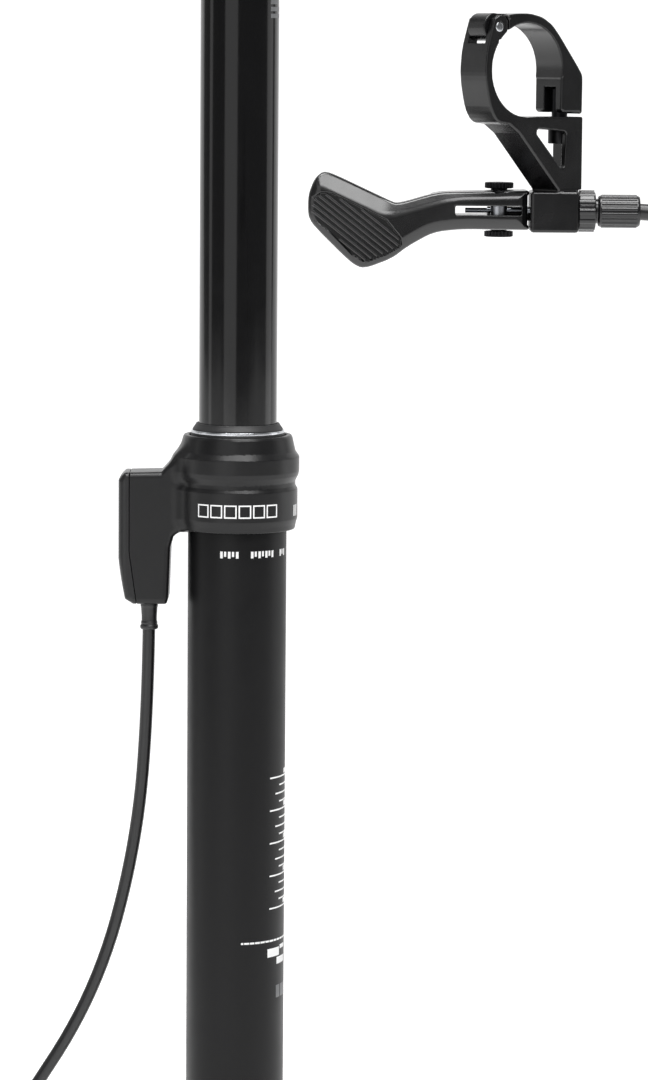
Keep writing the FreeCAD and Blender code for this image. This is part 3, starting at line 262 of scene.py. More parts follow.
def new_tree(name, **inputs):
    """A geometry tree with one named input for each size; it takes and gives one geometry."""
    tree = bpy.data.node_groups.new(name, "GeometryNodeTree")
    tree.interface.new_socket("Geometry", in_out="INPUT", socket_type="NodeSocketGeometry")
    for word, start in inputs.items():
        kind = {int: "NodeSocketInt", float: "NodeSocketFloat", type(None): "NodeSocketMaterial"}[type(start)]
        made = tree.interface.new_socket(word.replace("_", " "), in_out="INPUT", socket_type=kind)
        if start is not None:
            made.default_value = start
    tree.interface.new_socket("Geometry", in_out="OUTPUT", socket_type="NodeSocketGeometry")
    return tree, tree.nodes.new("NodeGroupInput").outputs, tree.nodes.new("NodeGroupOutput").inputs


# marks: each point of the base becomes a thin pad of ink, then the flat sheet is wrapped round the axis
ink_tree, given, result = new_tree("wrapped_ink", Radius=0.015, Thickness=0.00006, Ink=None)
pad = add(ink_tree, "GeometryNodeMeshCube", {"Size": (1, 1, 1), "Vertices X": 14, "Vertices Y": 2,
                        "Vertices Z": 2})
sizes = add(ink_tree, "ShaderNodeCombineXYZ", {
    "X": add(ink_tree, "GeometryNodeInputNamedAttribute", {"Name": "long"}).outputs[0],
    "Y": given["Thickness"],
    "Z": add(ink_tree, "GeometryNodeInputNamedAttribute", {"Name": "tall"}).outputs[0]})
laid = add(ink_tree, "GeometryNodeInstanceOnPoints",
           {"Points": given["Geometry"], "Instance": pad.outputs["Mesh"],
                        "Scale": sizes.outputs[0]})
flat = add(ink_tree, "GeometryNodeRealizeInstances", {"Geometry": laid.outputs[0]})
where = add(ink_tree, "ShaderNodeSeparateXYZ", {0: add(ink_tree, "GeometryNodeInputPosition").outputs[0]})
angle = add(ink_tree, "ShaderNodeMath", {0: where.outputs["X"], 1: given["Radius"]}, operation="DIVIDE")
out_at = add(ink_tree, "ShaderNodeMath", {0: given["Radius"], 1: where.outputs["Y"]}, operation="SUBTRACT")
sine = add(ink_tree, "ShaderNodeMath", {0: angle.outputs[0]}, operation="SINE")
cosine = add(ink_tree, "ShaderNodeMath", {0: angle.outputs[0]}, operation="COSINE")
across = add(ink_tree, "ShaderNodeMath", {0: out_at.outputs[0], 1: sine.outputs[0]}, operation="MULTIPLY")
deep = add(ink_tree, "ShaderNodeMath", {0: out_at.outputs[0], 1: cosine.outputs[0]}, operation="MULTIPLY")
back = add(ink_tree, "ShaderNodeMath", {0: deep.outputs[0], 1: -1.0}, operation="MULTIPLY")
wrapped = add(ink_tree, "GeometryNodeSetPosition", {
    "Geometry": flat.outputs[0], "Position": add(ink_tree, "ShaderNodeCombineXYZ", {
        "X": across.outputs[0], "Y": back.outputs[0], "Z": where.outputs["Z"]}).outputs[0]})
inked = add(ink_tree, "GeometryNodeSetMaterial", {"Geometry": wrapped.outputs[0], "Material": given["Ink"]})
ink_tree.links.new(inked.outputs[0], result[0])


def print_on(name, radius, marks, ink, body):
    """Print marks on a turned surface: (from angle, to angle, low, high), angles from the left side's normal."""
    spots = [(math.radians((a + b) / 2) * radius * MM, 0, (low + high) / 2 * MM) for a, b, low, high in marks]
    base = bpy.data.meshes.new(name)
    base.from_pydata(spots, [], [])
    for word, numbers in (("long", [math.radians(b - a) * radius * MM for a, b, low, high in marks]),
                          ("tall", [(high - low) * MM for a, b, low, high in marks])):
        base.attributes.new(word, "FLOAT", "POINT").data.foreach_set("value", numbers)
    made = grown(name, base, ink_tree, {"Radius": radius * MM, "Thickness": 0.00005, "Ink": ink})
    return ready(made, body, smooth=30)


# satin anodised aluminium: bead-blasted, then dyed black, so a fine even grain and a soft wide sheen
satin_tube = finish("satin black anodised aluminium", "#0d0d0e", "#111112", 0.0, 0.42, 0.35, 0.010,
                    spread=0.03,
                    Specular_IOR_Level=0.20)
TUBE_OUT, TUBE_IN, TUBE_END = 15.45, 14.0, -228
post_tube = lathe("post_tube", [(TUBE_IN, TUBE_END), (TUBE_OUT, TUBE_END), (TUBE_OUT, 0.4), (15.2, 0.4),
                                (15.2, 10), (TUBE_IN, 10)], 192, soft=0.25)
ready(post_tube, "post", satin_tube, ["outer_tube"])
# pad-printed ink: matt white, slightly thin so that the black shows through a little
white_ink = finish("pad-printed white ink", "#f2f2f2", "#e6e6e6", 0.0, 0.55, 0.3, 0.004)
grey_ink = finish("laser-marked grey oxide", "#6f7072", "#5b5c5e", 0.0, 0.5, 0.3, 0.004)
THIN = 0.24
FIRST_TICK, TICK_PITCH, LIMIT_LINE = -77.7, 2.6, -129.6
scale_marks = []
for count in range(17):
    height = FIRST_TICK - TICK_PITCH * count
    start = 45 if count % 4 == 0 else 54.7 if count % 4 == 2 else 63
    scale_marks.append((start, 93, height - THIN, height + THIN))
    if count % 4 == 0:
        scale_marks.append((76, 90, height + 0.6, height + 2.1))
scale_marks += [(8, 96, LIMIT_LINE - 0.3, LIMIT_LINE + 0.3), (42.5, 64.6, -134.8, -132.1),
                (66.5, 80, -132.9, -131.6),
                (59, 80, -137.5, -135.3)]
print_on("height_scale", TUBE_OUT, scale_marks, white_ink, "post")
bars = []
for start, end in ((-18.6, 8.8), (17.3, 52.7), (60, 75)):
    bars += [(start + 4.6 * k, start + 4.6 * k + 3.1 - 0.5 * (k % 2), -7.9 + 0.5 * (k % 2), -5.8)
             for k in range(int((end - start) / 4.6))]
print_on("torque_bars", TUBE_OUT, bars, white_ink, "post")
print_on("batch_mark", TUBE_OUT, [(58, 66, -148.3, -144.3), (68, 82, -148.3, -144.3)], grey_ink, "post")

# ------------------------ collar, cable boss and its cover
# The collar is one aluminium forging, machined, blasted and anodised black, and glued on the tube's neck.
# Its boss holds the rocker behind a moulded cover that clips in from the front.
def smooth_min(a, b, k):
    """Union with a fillet about k wide."""
    h = np.maximum(k - np.abs(a - b), 0) / k
    return np.minimum(a, b) - h * h * k / 4


def round_max(a, b, r):
    """Intersection with its edge rounded to radius r."""
    u, v = np.maximum(a + r, 0), np.maximum(b + r, 0)
    return np.minimum(np.maximum(a, b), -r) + np.sqrt(u * u + v * v)


def outline(u, v, corners, r=0.0):
    """Distance to a closed outline, less than 0 inside it, with its outer corners rounded to r."""
    pts = np.array(corners, float)
    if np.sum(pts[:, 0] * np.roll(pts[:, 1], -1) - np.roll(pts[:, 0], -1) * pts[:, 1]) < 0:
        pts = pts[::-1]
    if r:
        go = np.roll(pts, -1, axis=0) - pts
        go /= np.linalg.norm(go, axis=1)[:, None]
        inward = np.stack((-go[:, 1], go[:, 0]), 1)
        moved = []
        for i in range(len(pts)):
            a, b = inward[i - 1], inward[i]
            moved.append(pts[i] + (a + b) * r / max(1 + float(a @ b), 0.3))
        pts = np.array(moved)
    best = np.full(u.shape, 1e9)
    inside = np.zeros(u.shape, bool)
    for a, b in zip(pts, np.roll(pts, -1, axis=0)):
        e = b - a
        du, dv = u - a[0], v - a[1]
        t = np.clip((du * e[0] + dv * e[1]) / (e @ e), 0, 1)
        best = np.minimum(best, (du - t * e[0]) ** 2 + (dv - t * e[1]) ** 2)
        over = (a[1] > v) != (b[1] > v)
        if abs(e[1]) > 1e-12:
            inside ^= over & (du < dv * e[0] / e[1])
    return np.sqrt(best) * np.where(inside, -1, 1) - r


def steps(low, high, pitch, fine=()):
    """Grid lines from low to high, closer together near each (middle, half width, pitch) in fine."""
    line, here = [low], low
    while here < high:
        here += min([pitch] + [p for middle, half, p in fine if abs(here - middle) < half + pitch])
        line.append(here)
    return np.array(line)


def skin(name, shape, xs, ys, zs, at=(0, 0, 0)):
    """Skin a solid given by its distance function, in millimetres, with its normals from the function."""
    axes, block = [xs, ys, zs], 6
    count = [len(a) for a in axes]
    field = np.empty(count)
    spans = [[(i, min(i + block, n)) for i in range(0, n, block)] for n in count]
    middles = [np.array([(a[i] + a[j - 1]) / 2 for i, j in s]) for a, s in zip(axes, spans)]
    reach = 0.5 * math.sqrt(sum(max(a[min(j, len(a) - 1)] - a[i] for i, j in s) ** 2 for a,
                                s in zip(axes, spans)))
    grid = np.stack(np.meshgrid(*middles, indexing="ij"), -1)
    rough = shape(*(grid.reshape(-1, 3).T)).reshape(grid.shape[:3])
    for i, (x0, x1) in enumerate(spans[0]):
        for j, (y0, y1) in enumerate(spans[1]):
            runs = np.abs(rough[i, j]) < reach * 1.3 + 0.4
            for k, (z0, z1) in enumerate(spans[2]):
                if not runs[k]:
                    field[x0:x1, y0:y1, z0:z1] = rough[i, j, k]
            near = [k for k in range(len(runs)) if runs[k]]
            if near:
                picks = np.concatenate([np.arange(*spans[2][k]) for k in near])
                g = np.meshgrid(xs[x0:x1], ys[y0:y1], zs[picks], indexing="ij")
                field[x0:x1, y0:y1, picks] = shape(*[w.ravel() for w in g]).reshape(g[0].shape)
    inside = field < 0
    corners = [(i, j, k) for i in (0, 1) for j in (0, 1) for k in (0, 1)]
    view = {c: tuple(slice(o, n - 1 + o) for o, n in zip(c, count)) for c in corners}
    total = sum(inside[view[c]].astype(np.int8) for c in corners)
    cells = np.argwhere((total > 0) & (total < 8))
    number = np.full([n - 1 for n in count], -1)
    number[tuple(cells.T)] = np.arange(len(cells))
    spot, hits = np.zeros((len(cells), 3)), np.zeros(len(cells))
    for c in corners:
        for axis in range(3):
            if c[axis]:
                continue
            d = tuple(v + (1 if n == axis else 0) for n, v in enumerate(c))
            ia, ib = cells + c, cells + d
            fa, fb = field[tuple(ia.T)], field[tuple(ib.T)]
            crosses = (fa < 0) != (fb < 0)
            t = np.where(crosses, fa / np.where(crosses, fa - fb, 1), 0)[:, None]
            pa = np.stack([axes[n][ia[:, n]] for n in range(3)], 1)
            pb = np.stack([axes[n][ib[:, n]] for n in range(3)], 1)
            spot += np.where(crosses[:, None], pa + (pb - pa) * t, 0)
            hits += crosses
    spot /= hits[:, None]
    low = np.stack([axes[n][cells[:, n]] for n in range(3)], 1)
    high = np.stack([axes[n][cells[:, n] + 1] for n in range(3)], 1)

    def slope(p):
        parts = []
        for axis in range(3):
            push = np.zeros(3)
            push[axis] = 0.01
            parts.append(shape(*(p + push).T) - shape(*(p - push).T))
        g = np.stack(parts, 1) / 0.02
        return g, np.maximum((g * g).sum(1), 0.05)

    for turn in range(3):
        g, square = slope(spot)
        spot = np.clip(spot - g * (shape(*spot.T) / square)[:, None], low, high)
    g, square = slope(spot)
    normals = g / np.sqrt(square)[:, None]
    faces = []
    for axis in range(3):
        b, c = (axis + 1) % 3, (axis + 2) % 3
        ahead_of = [slice(None)] * 3
        ahead_of[axis] = slice(1, None)
        behind = [slice(None)] * 3
        behind[axis] = slice(None, -1)
        cross = inside[tuple(behind)] != inside[tuple(ahead_of)]
        edges = np.argwhere(cross)
        edges = edges[(edges[:, b] > 0) & (edges[:, c] > 0) & (edges[:, b] < count[b] - 1) & (edges[:,
                        c] < count[c] - 1)]
        out = inside[tuple(edges.T)]
        quad = []
        for db, dc in ((-1, -1), (0, -1), (0, 0), (-1, 0)):
            q = edges.copy()
            q[:, b] += db
            q[:, c] += dc
            quad.append(number[tuple(q.T)])
        quad = np.stack(quad, 1)
        quad[~out] = quad[~out][:, ::-1]
        faces.append(quad)
    faces = np.concatenate(faces)
    faces = faces[(faces >= 0).all(1)]
    mesh = bpy.data.meshes.new(name)
    mesh.vertices.add(len(spot))
    mesh.vertices.foreach_set("co", ((spot + np.array(at)) * MM).astype(np.float32).ravel())
    mesh.loops.add(faces.size)
    mesh.loops.foreach_set("vertex_index", faces.astype(np.int32).ravel())
    mesh.polygons.add(len(faces))
    mesh.polygons.foreach_set("loop_start", np.arange(0, faces.size, 4, dtype=np.int32))
    mesh.update(calc_edges=True)
    mesh.validate()
    mesh.shade_smooth()
    if len(mesh.vertices) == len(normals):
        mesh.normals_split_custom_set_from_vertices(normals)
    made = bpy.data.objects.new(name, mesh)
    bpy.context.scene.collection.objects.link(made)
    return made


COLLAR_PROFILE = [
    (15.22, 0), (18.0, 0), (18.3, 1.75), (18.8, 3.5), (18.8, 12.6), (18.1, 13.7), (18.1, 15.1), (19.0, 16.9),
    (19.3, 18.2), (19.3, 22.7), (18.1, 24.4), (17.7, 26.1), (17.1, 28.7), (16.7, 29.4), (14.65, 29.4),
                  (14.65, 22),
    (14.0, 22), (14.0, 10.2), (15.22, 10.2)]
BOSS_SIDE = [
    (-37.5, -9.3), (-34.9, -22.0), (-32.3, -23.6), (-21.9, -23.6), (-21.3, -21.8), (-20.7, -5.7),
             (-19.8, -2.4),
    (-17.8, -0.3), (-14.5, 0), (-14.5, 25.4), (-18.0, 24.2), (-23.6, 18.0), (-35.0, 17.7), (-37.5, 15.5)]
SEAM, BOSS_FACE, CABLE_X, BAND_OUT = -33.5, -37.5, -27.5, 18.8


def boss_outer(x, y, z):
    side = outline(x, z, BOSS_SIDE, 0.9)
    plan = outline(x, y, [(BOSS_FACE, -7.5), (5, -7.5), (5, 7.5), (BOSS_FACE, 7.5)], 3.0)
    return round_max(side, plan, 1.7)


def seam_at(z):
    """The cover's seam runs down straight, then leans back with the boss's taper."""
    return SEAM + 0.14 * np.maximum(-7 - z, 0)


def rocker_room(x, y, z):
    room = np.maximum(np.maximum(BOSS_FACE + 4.0 - x, x + 17.85),
                      np.maximum(np.abs(y) - 4.6, np.abs(z - 5.55) - 10.55))
    way = np.maximum(np.maximum(-18.45 - x, x + 10), np.maximum(np.abs(y) - 2.7, np.abs(z - 14.2) - 4.0))
    return np.minimum(room, way)


def collar_shape(x, y, z):
    r = np.hypot(x, y)
    turned = outline(r, z, COLLAR_PROFILE, 0.3)
    boss = boss_outer(x, y, z)
    whole = smooth_min(turned, boss, 3.4)
    # the fillet stays out of the bores and off the collar's mouth
    whole = np.maximum(whole, 15.22 - r)
    whole = np.maximum(whole, np.where(z < 0, 15.47 - r, -1e3))
    mouth = np.maximum(r - 14.65, 22 - z)
    whole = np.maximum(whole, -mouth)
    whole = np.maximum(whole, -rocker_room(x, y, z))
    whole = np.maximum(whole, -(np.maximum(np.hypot(x - CABLE_X, y) - 2.67, z + 14.2)))
    whole = np.maximum(whole, -np.maximum(np.hypot(x - CABLE_X, y) - 1.0, z))
    seam = round_max(whole, seam_at(z) + 0.04 - x, 0.25)
    return np.where(x < SEAM + 4, seam, whole)


def cover_shape(x, y, z):
    return round_max(boss_outer(x, y, z) + 0.02, x - seam_at(z) + 0.04, 0.25)


# forged and blasted aluminium, black anodised: deeper and glossier than the tube
collar_black = finish("black anodised forged aluminium", "#0d0d0e", "#121213", 0.0, 0.33, 0.5, 0.012,
                      spread=0.04,
                      Specular_IOR_Level=0.32)
GRAIN = 0.46
collar = skin("collar_forging", collar_shape, steps(-34, 19.8, GRAIN, [(-32.3, 1.5, 0.13)]),
              steps(-19.8, 19.8, GRAIN),
              steps(-24.2, 30, GRAIN))
ready(collar, "post", collar_black, ["collar"], smooth=0)
cover = skin("cover_moulding", cover_shape, steps(-38, -30.6, GRAIN, [(-32.3, 1.5, 0.13)]),
             steps(-8, 8, GRAIN),
             steps(-24.2, 18.4, GRAIN))
cover_black = finish("moulded black nylon cover", "#0f0f10", "#151516", 0.0, 0.33, 0.5, 0.010, spread=0.04,
                     ior=1.53, Specular_IOR_Level=0.35)
ready(cover, "post", cover_black, ["boss_cover"], smooth=0)
squares = []
for k in range(6):
    left, low, high, line = -39 + 13.8 * k, 4.9, 9.0, 0.42
    right = left + 12.0
    turn = math.degrees(line / BAND_OUT)
    squares += [(left, right, high - line, high), (left, right, low, low + line),
                (left, left + turn, low + line, high - line), (right - turn, right, low + line, high - line)]
print_on("collar_squares", BAND_OUT, squares, white_ink, "post")
print_on("collar_side_mark", BAND_OUT, [(69.5, 71.5, 4.5, 8), (73, 75, 4.5, 8), (76.5, 78.5, 4.5, 8)],
         white_ink, "post")

# ------------------------ seals in the collar's mouth
# A lip wiper of nitrile rubber keeps dirt off the stanchion, with a bright turned ring pressed round it.
# A foam oil ring and a square seal lie under it, out of sight.
nitrile = finish("moulded nitrile rubber", "#131314", "#1b1b1c", 0.0, 0.55, 0.4, 0.010, ior=1.52)
wiper = lathe("lip_wiper", [(12.22, 24), (14.63, 24), (14.63, 29.9), (13.47, 29.9), (13.47, 30.9),
                            (14.1, 30.9),
                             (14.07, 31.3), (13.2, 32.5), (12.97, 33.0), (12.22, 33.0), (12.35, 31.2),
                            (12.35, 26)],
              160, soft=0.18)
ready(wiper, "post", nitrile, ["wiper_seal"])
bright_ring = finish("turned nickel-plated ring", "#c9cbce", "#b4b6ba", 1.0, 0.22, 0.3, 0.003, spread=0.05,
                     streak=(0.3, 0.3, 6))
ring = lathe("bright_ring", [(13.47, 29.9), (14.6, 29.9), (14.6, 30.9), (13.47, 30.9)], 160, soft=0.2)
ready(ring, "post", bright_ring, ["wiper_ring"])
foam = finish("open-cell oil foam", "#4a4a48", "#2e2e2d", 0.0, 0.9, 0.8, 0.15, spread=0.05)
for node, finished in (("foam_ring", foam), ("seal_ring", nitrile)):
    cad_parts[node].data.materials.clear()
    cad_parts[node].data.materials.append(finished)

# ------------------------ stanchion
# The sliding tube is drawn aluminium, centreless ground and hard anodised gloss black, 24.3 mm outside.
# It carries a small printed label near its top.
gloss_anodised = finish("gloss hard-anodised aluminium", "#060607", "#09090a", 0.0, 0.13, 0.6, 0.0015,
                        spread=0.03,
                        Specular_IOR_Level=0.40)
SLIDER_OUT, SLIDER_IN, SLIDER_LOW, SLIDER_TOP = 12.17, 10.57, -62, 168
stanchion_tube = lathe("stanchion_tube", [(SLIDER_IN, SLIDER_LOW), (SLIDER_OUT, SLIDER_LOW), (SLIDER_OUT,
                        SLIDER_TOP), (SLIDER_IN, SLIDER_TOP)], 192, soft=0.3)
ready(stanchion_tube, "stanchion", gloss_anodised, ["inner_tube"])
print_on("top_label", SLIDER_OUT, [(52.5, 82.7, 158.3, 159.6), (52.5, 82.7, 160.4, 161.7),
                                   (52.5, 75, 162.5, 163.8)],
         grey_ink, "stanchion")

# ------------------------ saddle head and rail clamp
# The head is forged aluminium, bonded in the stanchion's top; cradle and upper clamp are forged too.
# Two M5 steel bolts with barrel nuts and half-round washers draw them on the saddle's rails.
def dress(material, *nodes):
    """Give CAD nodes whose shape is right their finish."""
    for node in nodes:
        for k in range(max(1, len(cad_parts[node].data.materials))):
            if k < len(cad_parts[node].data.materials):
                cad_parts[node].data.materials[k] = material
            else:
                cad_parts[node].data.materials.append(material)


forged_black = finish("blasted and anodised forging", "#121213", "#18181a", 0.0, 0.42, 0.45, 0.020,
                      spread=0.05)
plated_steel = finish("zinc-nickel plated steel", "#8d8f93", "#6f7175", 1.0, 0.30, 0.4, 0.004, spread=0.07)
black_oxide = finish("black oxide steel", "#1c1c1e", "#262628", 0.8, 0.38, 0.4, 0.006)


def slab(x, y, z, low, high, r=0.0):
    """Distance to a box with its edges rounded to r."""
    q = [np.maximum(a - w, w - b) + r for w, a, b in zip((x, y, z), low, high)]
    out = np.sqrt(sum(np.maximum(w, 0) ** 2 for w in q))
    return out + np.minimum(np.maximum(np.maximum(q[0], q[1]), q[2]), 0) - r


def head_shape(x, y, z):
    ears = outline(x, z, [(-11.5, 170), (11.5, 170), (15, 176), (31, 176), (31, 184), (-31, 184), (-31, 176),
                          (-15, 176)],
                   1.5)
    ears = round_max(ears, np.abs(y) - 13, 1.8)
    ears = round_max(ears, outline(x, y, [(-31, -13), (31, -13), (31, 13), (-31, 13)], 6.0), 1.2)
    neck = round_max(np.hypot(x, y) - 12.47, np.abs(z - 171) - 3, 0.5)
    plug = round_max(np.hypot(x, y) - 10.55, np.abs(z - 158.5) - 10.5, 0.3)
    whole = np.minimum(smooth_min(ears, neck, 2.5), plug)
    whole = np.maximum(whole, np.where(z < 168, plug, -1e3))
    whole = round_max(whole, 18 - np.hypot(x, z - 196), 0.5)
    slot = np.maximum(np.hypot(np.maximum(np.abs(np.abs(x) - 22) - 2.9, 0), y) - 2.8, 170 - z)
    return round_max(whole, -slot, 0.4)


def rail_bores(x, y, z):
    rails = np.hypot(np.abs(y) - 22, z - 196) - 3.5
    return np.minimum(rails, np.hypot(np.abs(x) - 22, y) - 2.55)


def cradle_shape(x, y, z):
    foot = round_max(np.hypot(x, z - 196) - 17.9, np.maximum(np.abs(y) - 12.8, np.abs(x) - 12), 0.6)
    foot = np.maximum(foot, z - 189.5)
    bar = slab(x, y, z, (-26.5, -8, 188.5), (26.5, 8, 195.5), 1.2)
    wings = slab(x, y, z, (-21, -27, 188.5), (21, 27, 195.5), 1.2)
    return round_max(np.minimum(np.minimum(foot, wings), bar), -rail_bores(x, y, z), 0.4)


def upper_shape(x, y, z):
    bar = outline(x, z, [(-26.5, 196.5), (26.5, 196.5), (26.5, 202), (22, 205), (-22, 205), (-26.5, 202)],
                  1.0)
    bar = round_max(bar, np.abs(y) - 8, 1.2)
    wings = slab(x, y, z, (-21, -27, 196.5), (21, 27, 201.6), 1.2)
    seats = np.hypot(np.abs(x) - 22, z - 206) - 4.0
    return round_max(np.minimum(bar, wings), -np.minimum(rail_bores(x, y, z), seats), 0.4)


COARSE = 0.6
head = skin("head_forging", head_shape, steps(-32, 32, COARSE), steps(-14, 14, COARSE),
            steps(147, 185, COARSE))
ready(head, "stanchion", forged_black, ["saddle_head"], smooth=0)
cradle = skin("cradle_forging", cradle_shape, steps(-27.5, 27.5, COARSE), steps(-28, 28, COARSE),
              steps(177, 197, COARSE))
ready(cradle, "saddle_clamp", forged_black, ["lower_cradle"], smooth=0)
upper = skin("clamp_forging", upper_shape, steps(-27.5, 27.5, COARSE), steps(-28, 28, COARSE),
             steps(195, 206, COARSE))
ready(upper, "saddle_clamp", forged_black, ["upper_clamp"], smooth=0)
dress(plated_steel, "front_barrel_nut", "rear_barrel_nut", "front_washer", "rear_washer")
dress(black_oxide, "front_bolt", "rear_bolt")

# ------------------------ inside the post
# The lift cartridge, its piston and shaft, the bushes and keys that guide the stanchion, and the
# rocker, rod and lever that open the cartridge's valve. All turned or milled, and out of sight.
acetal = finish("machined acetal", "#d9d6cc", "#cfcbbe", 0.0, 0.35, 0.5, 0.004)
honed = finish("hard-chromed shaft", "#b9bcc1", "#a9acb2", 1.0, 0.14, 0.4, 0.001, spread=0.04)
turned_alloy = finish("turned aluminium", "#a7a9ad", "#93959a", 1.0, 0.32, 0.25, 0.006, spread=0.06)
turned_brass = finish("turned brass", "#b08d4a", "#9a7a3c", 1.0, 0.28, 0.3, 0.004, spread=0.06)
dress(acetal, "upper_bush", "lower_bush", "piston")
dress(honed, "cartridge_shaft", "valve_pin")
dress(turned_alloy, "cartridge_body", "cartridge_gland", "bottom_plug", "valve_lever", "rocker")
dress(turned_brass, "guide_keys")
dress(plated_steel, "cartridge_clip", "shaft_nut", "rocker_pin", "valve_lever_pin", "release_rod",
      "cable_nipple")
dress(nitrile, "top_out_bumper", "end_cap")
# drawn stainless strand: bright, with the lay of the wires running round it
strand = finish("drawn stainless strand", "#9a9da2", "#7d8085", 1.0, 0.30, 0.35, 0.05, streak=(1, 1, 0.4))
dress(strand, "inner_cable_post", "inner_cable_lever")

# ------------------------ body of the lever assembly
# One forged and machined aluminium piece: the block that holds the adjuster, the tongue that the lever
# turns on, and a bracket that ends in half of the handlebar clamp.
PIVOT = (69.1, -271.9, 110.5)
COS, SIN = math.cos(math.radians(38.7)), math.sin(math.radians(38.7))


def from_bar(x, y, z):
    """A place from the lever's pivot, in the handlebar's own directions."""
    u, v = x - 2.7, y + 14.0
    return u * COS + v * SIN, v * COS - u * SIN, z - 33.8


def eased(points, times=2, share=0.22):
    """Round a line of points by cutting its corners."""
    for turn in range(times):
        cut = [points[0]]
        for a, b in zip(points, points[1:]):
            cut += [tuple(p + (q - p) * share for p, q in zip(a, b)),
                    tuple(q + (p - q) * share for p, q in zip(a, b))]
        points = cut + [points[-1]]
    return points


BASE = eased([(-5.5, -12.9), (-9.2, -12.5), (-11.4, -9.5), (-12.7, -4), (-13.1, 0), (-12.6, 5), (-11.4, 9),
              (-10.4, 12.1)]) + [
        (-9.06, 12.8), (-6.4, 12.9), (-6.4, 6), (0, 0), (0, -11.1), (18, -11.1), (18, -29.4), (11.05, -29.4),
                                 (-2.3, -15)]


def body_shape(x, y, z):
    a, b, c = from_bar(x, y, z)
    base = round_max(outline(a, c, BASE, 0.45), np.abs(b) - 4.9, 0.45)
    base = round_max(base, 11.1 - np.hypot(a, c), 0.3)
    hinge = np.hypot(a + 9.06, c - 10.1)
    base = round_max(base, -np.maximum(hinge - 4.8, np.abs(b) - 3.1), 0.2)
    corner = np.maximum(np.maximum(-9.06 - a, a + 4.06), np.maximum(5.1 - c, c - 15.1))
    base = np.maximum(base, -np.maximum(corner, 2.95 - hinge))
    base = np.maximum(base, 1.15 - hinge)
    base = round_max(base, -outline(a, c, [(2.2, -13.9), (12.7, -14.7), (12.2, -24.5)], 0.9), 0.35)
    room = outline(a, c, [(4.6, -14.2), (17, -14.2), (17, -25), (12.4, -25)], 0.4)
    base = np.maximum(base, -np.maximum(room, -3.3 - b))
    base = np.maximum(base, 2.05 - np.hypot(a - 14.2, b + 0.5))
    base = np.maximum(base, -np.maximum(18.8 - x, z - 5.15))
    whole = smooth_min(base, slab(x, y, z, (7.2, -11.3, -5.1), (18.8, 2.5, 4.8), 0.75), 0.6)
    eye = round_max(np.hypot(x, y) - 2.9, np.abs(z + 0.95) - 1.65, 0.15)
    whole = np.minimum(whole, np.minimum(eye, slab(x, y, z, (0, -2.9, -2.6), (8.2, 2.5, 0.7), 0.15)))
    whole = np.maximum(whole, -np.maximum(np.hypot(y + 6, z) - 1.0, -x))
    whole = np.maximum(whole, -np.maximum(np.hypot(y + 6, z) - 3.05, 10.2 - x))
    return np.maximum(whole, 2.6 - np.hypot(x, y))


# clear-coated anodised forging: deep black with a sharp bright reflection
remote_black = finish("polished black anodised forging", "#0a0a0b", "#0f0f10", 0.0, 0.25, 0.5, 0.003,
                      spread=0.04,
                      Specular_IOR_Level=0.45)
FINE = 0.30
remote = skin("bracket_forging", body_shape, steps(-11.5, 20.4, FINE), steps(-27, 3.2, FINE),
              steps(-5.7, 47.2, FINE),
              at=PIVOT)
ready(remote, "post", remote_black, ["remote_body"], smooth=0)
dress(turned_brass, "pivot_bush")

# ------------------------ handlebar clamp's hinged half
# A forged half-ring that swings on a polished steel pin and is drawn shut by one bolt from below.
DOOR = [(-6, 6), (-6, 13)] + eased([(-6, 13), (-3, 13.4), (1, 13.4), (4.9, 12.6), (8.6, 10.4), (17.6, -0.6),
                                    (17.9, -2), (17.8, -10.1)], share=0.18)[1:] + [
        (11.6, -10.1), (11, -9.5), (11, -2), (0, 0)]


def door_shape(x, y, z):
    a, b, c = from_bar(x, y, z)
    door = round_max(outline(a, c, DOOR, 0.6), np.abs(b) - 4.9, 0.6)
    hinge = np.hypot(a + 9.06, c - 10.1)
    knuckle = round_max(hinge - 3.3, np.abs(b) - 3.0, 0.3)
    link = np.maximum(np.maximum(-9.06 - a, a + 5), np.maximum(np.maximum(10.1 - c, c - 13.2),
                        np.abs(b) - 3.0))
    door = np.minimum(door, np.minimum(knuckle, link))
    door = round_max(door, 11.1 - np.hypot(a, c), 0.3)
    door = np.maximum(door, 1.2 - hinge)
    door = np.maximum(door, -np.maximum(np.hypot(a - 14.2, b + 0.5) - 2.05, c + 4.0))
    leave = np.maximum(np.maximum(-a, a - 14.2), np.maximum(np.abs(b + 0.5) - 2.05, np.maximum(-15.1 - c,
                        c + 4.0)))
    return np.maximum(door, -leave)


door = skin("door_forging", door_shape, steps(-11, 20.6, FINE), steps(-26, 2.6, FINE), steps(23, 47.9, FINE),
            at=PIVOT)
ready(door, "bar_clamp_door", remote_black, ["clamp_door"], smooth=0)


def at_clamp(piece):
    """Carry a piece from the handlebar's own frame to its place."""
    carry = Matrix.Translation((0.0718, -0.2859, 0.1443)) @ Matrix.Rotation(math.radians(38.7), 4, "Z")
    piece.data.transform(carry)
    return piece


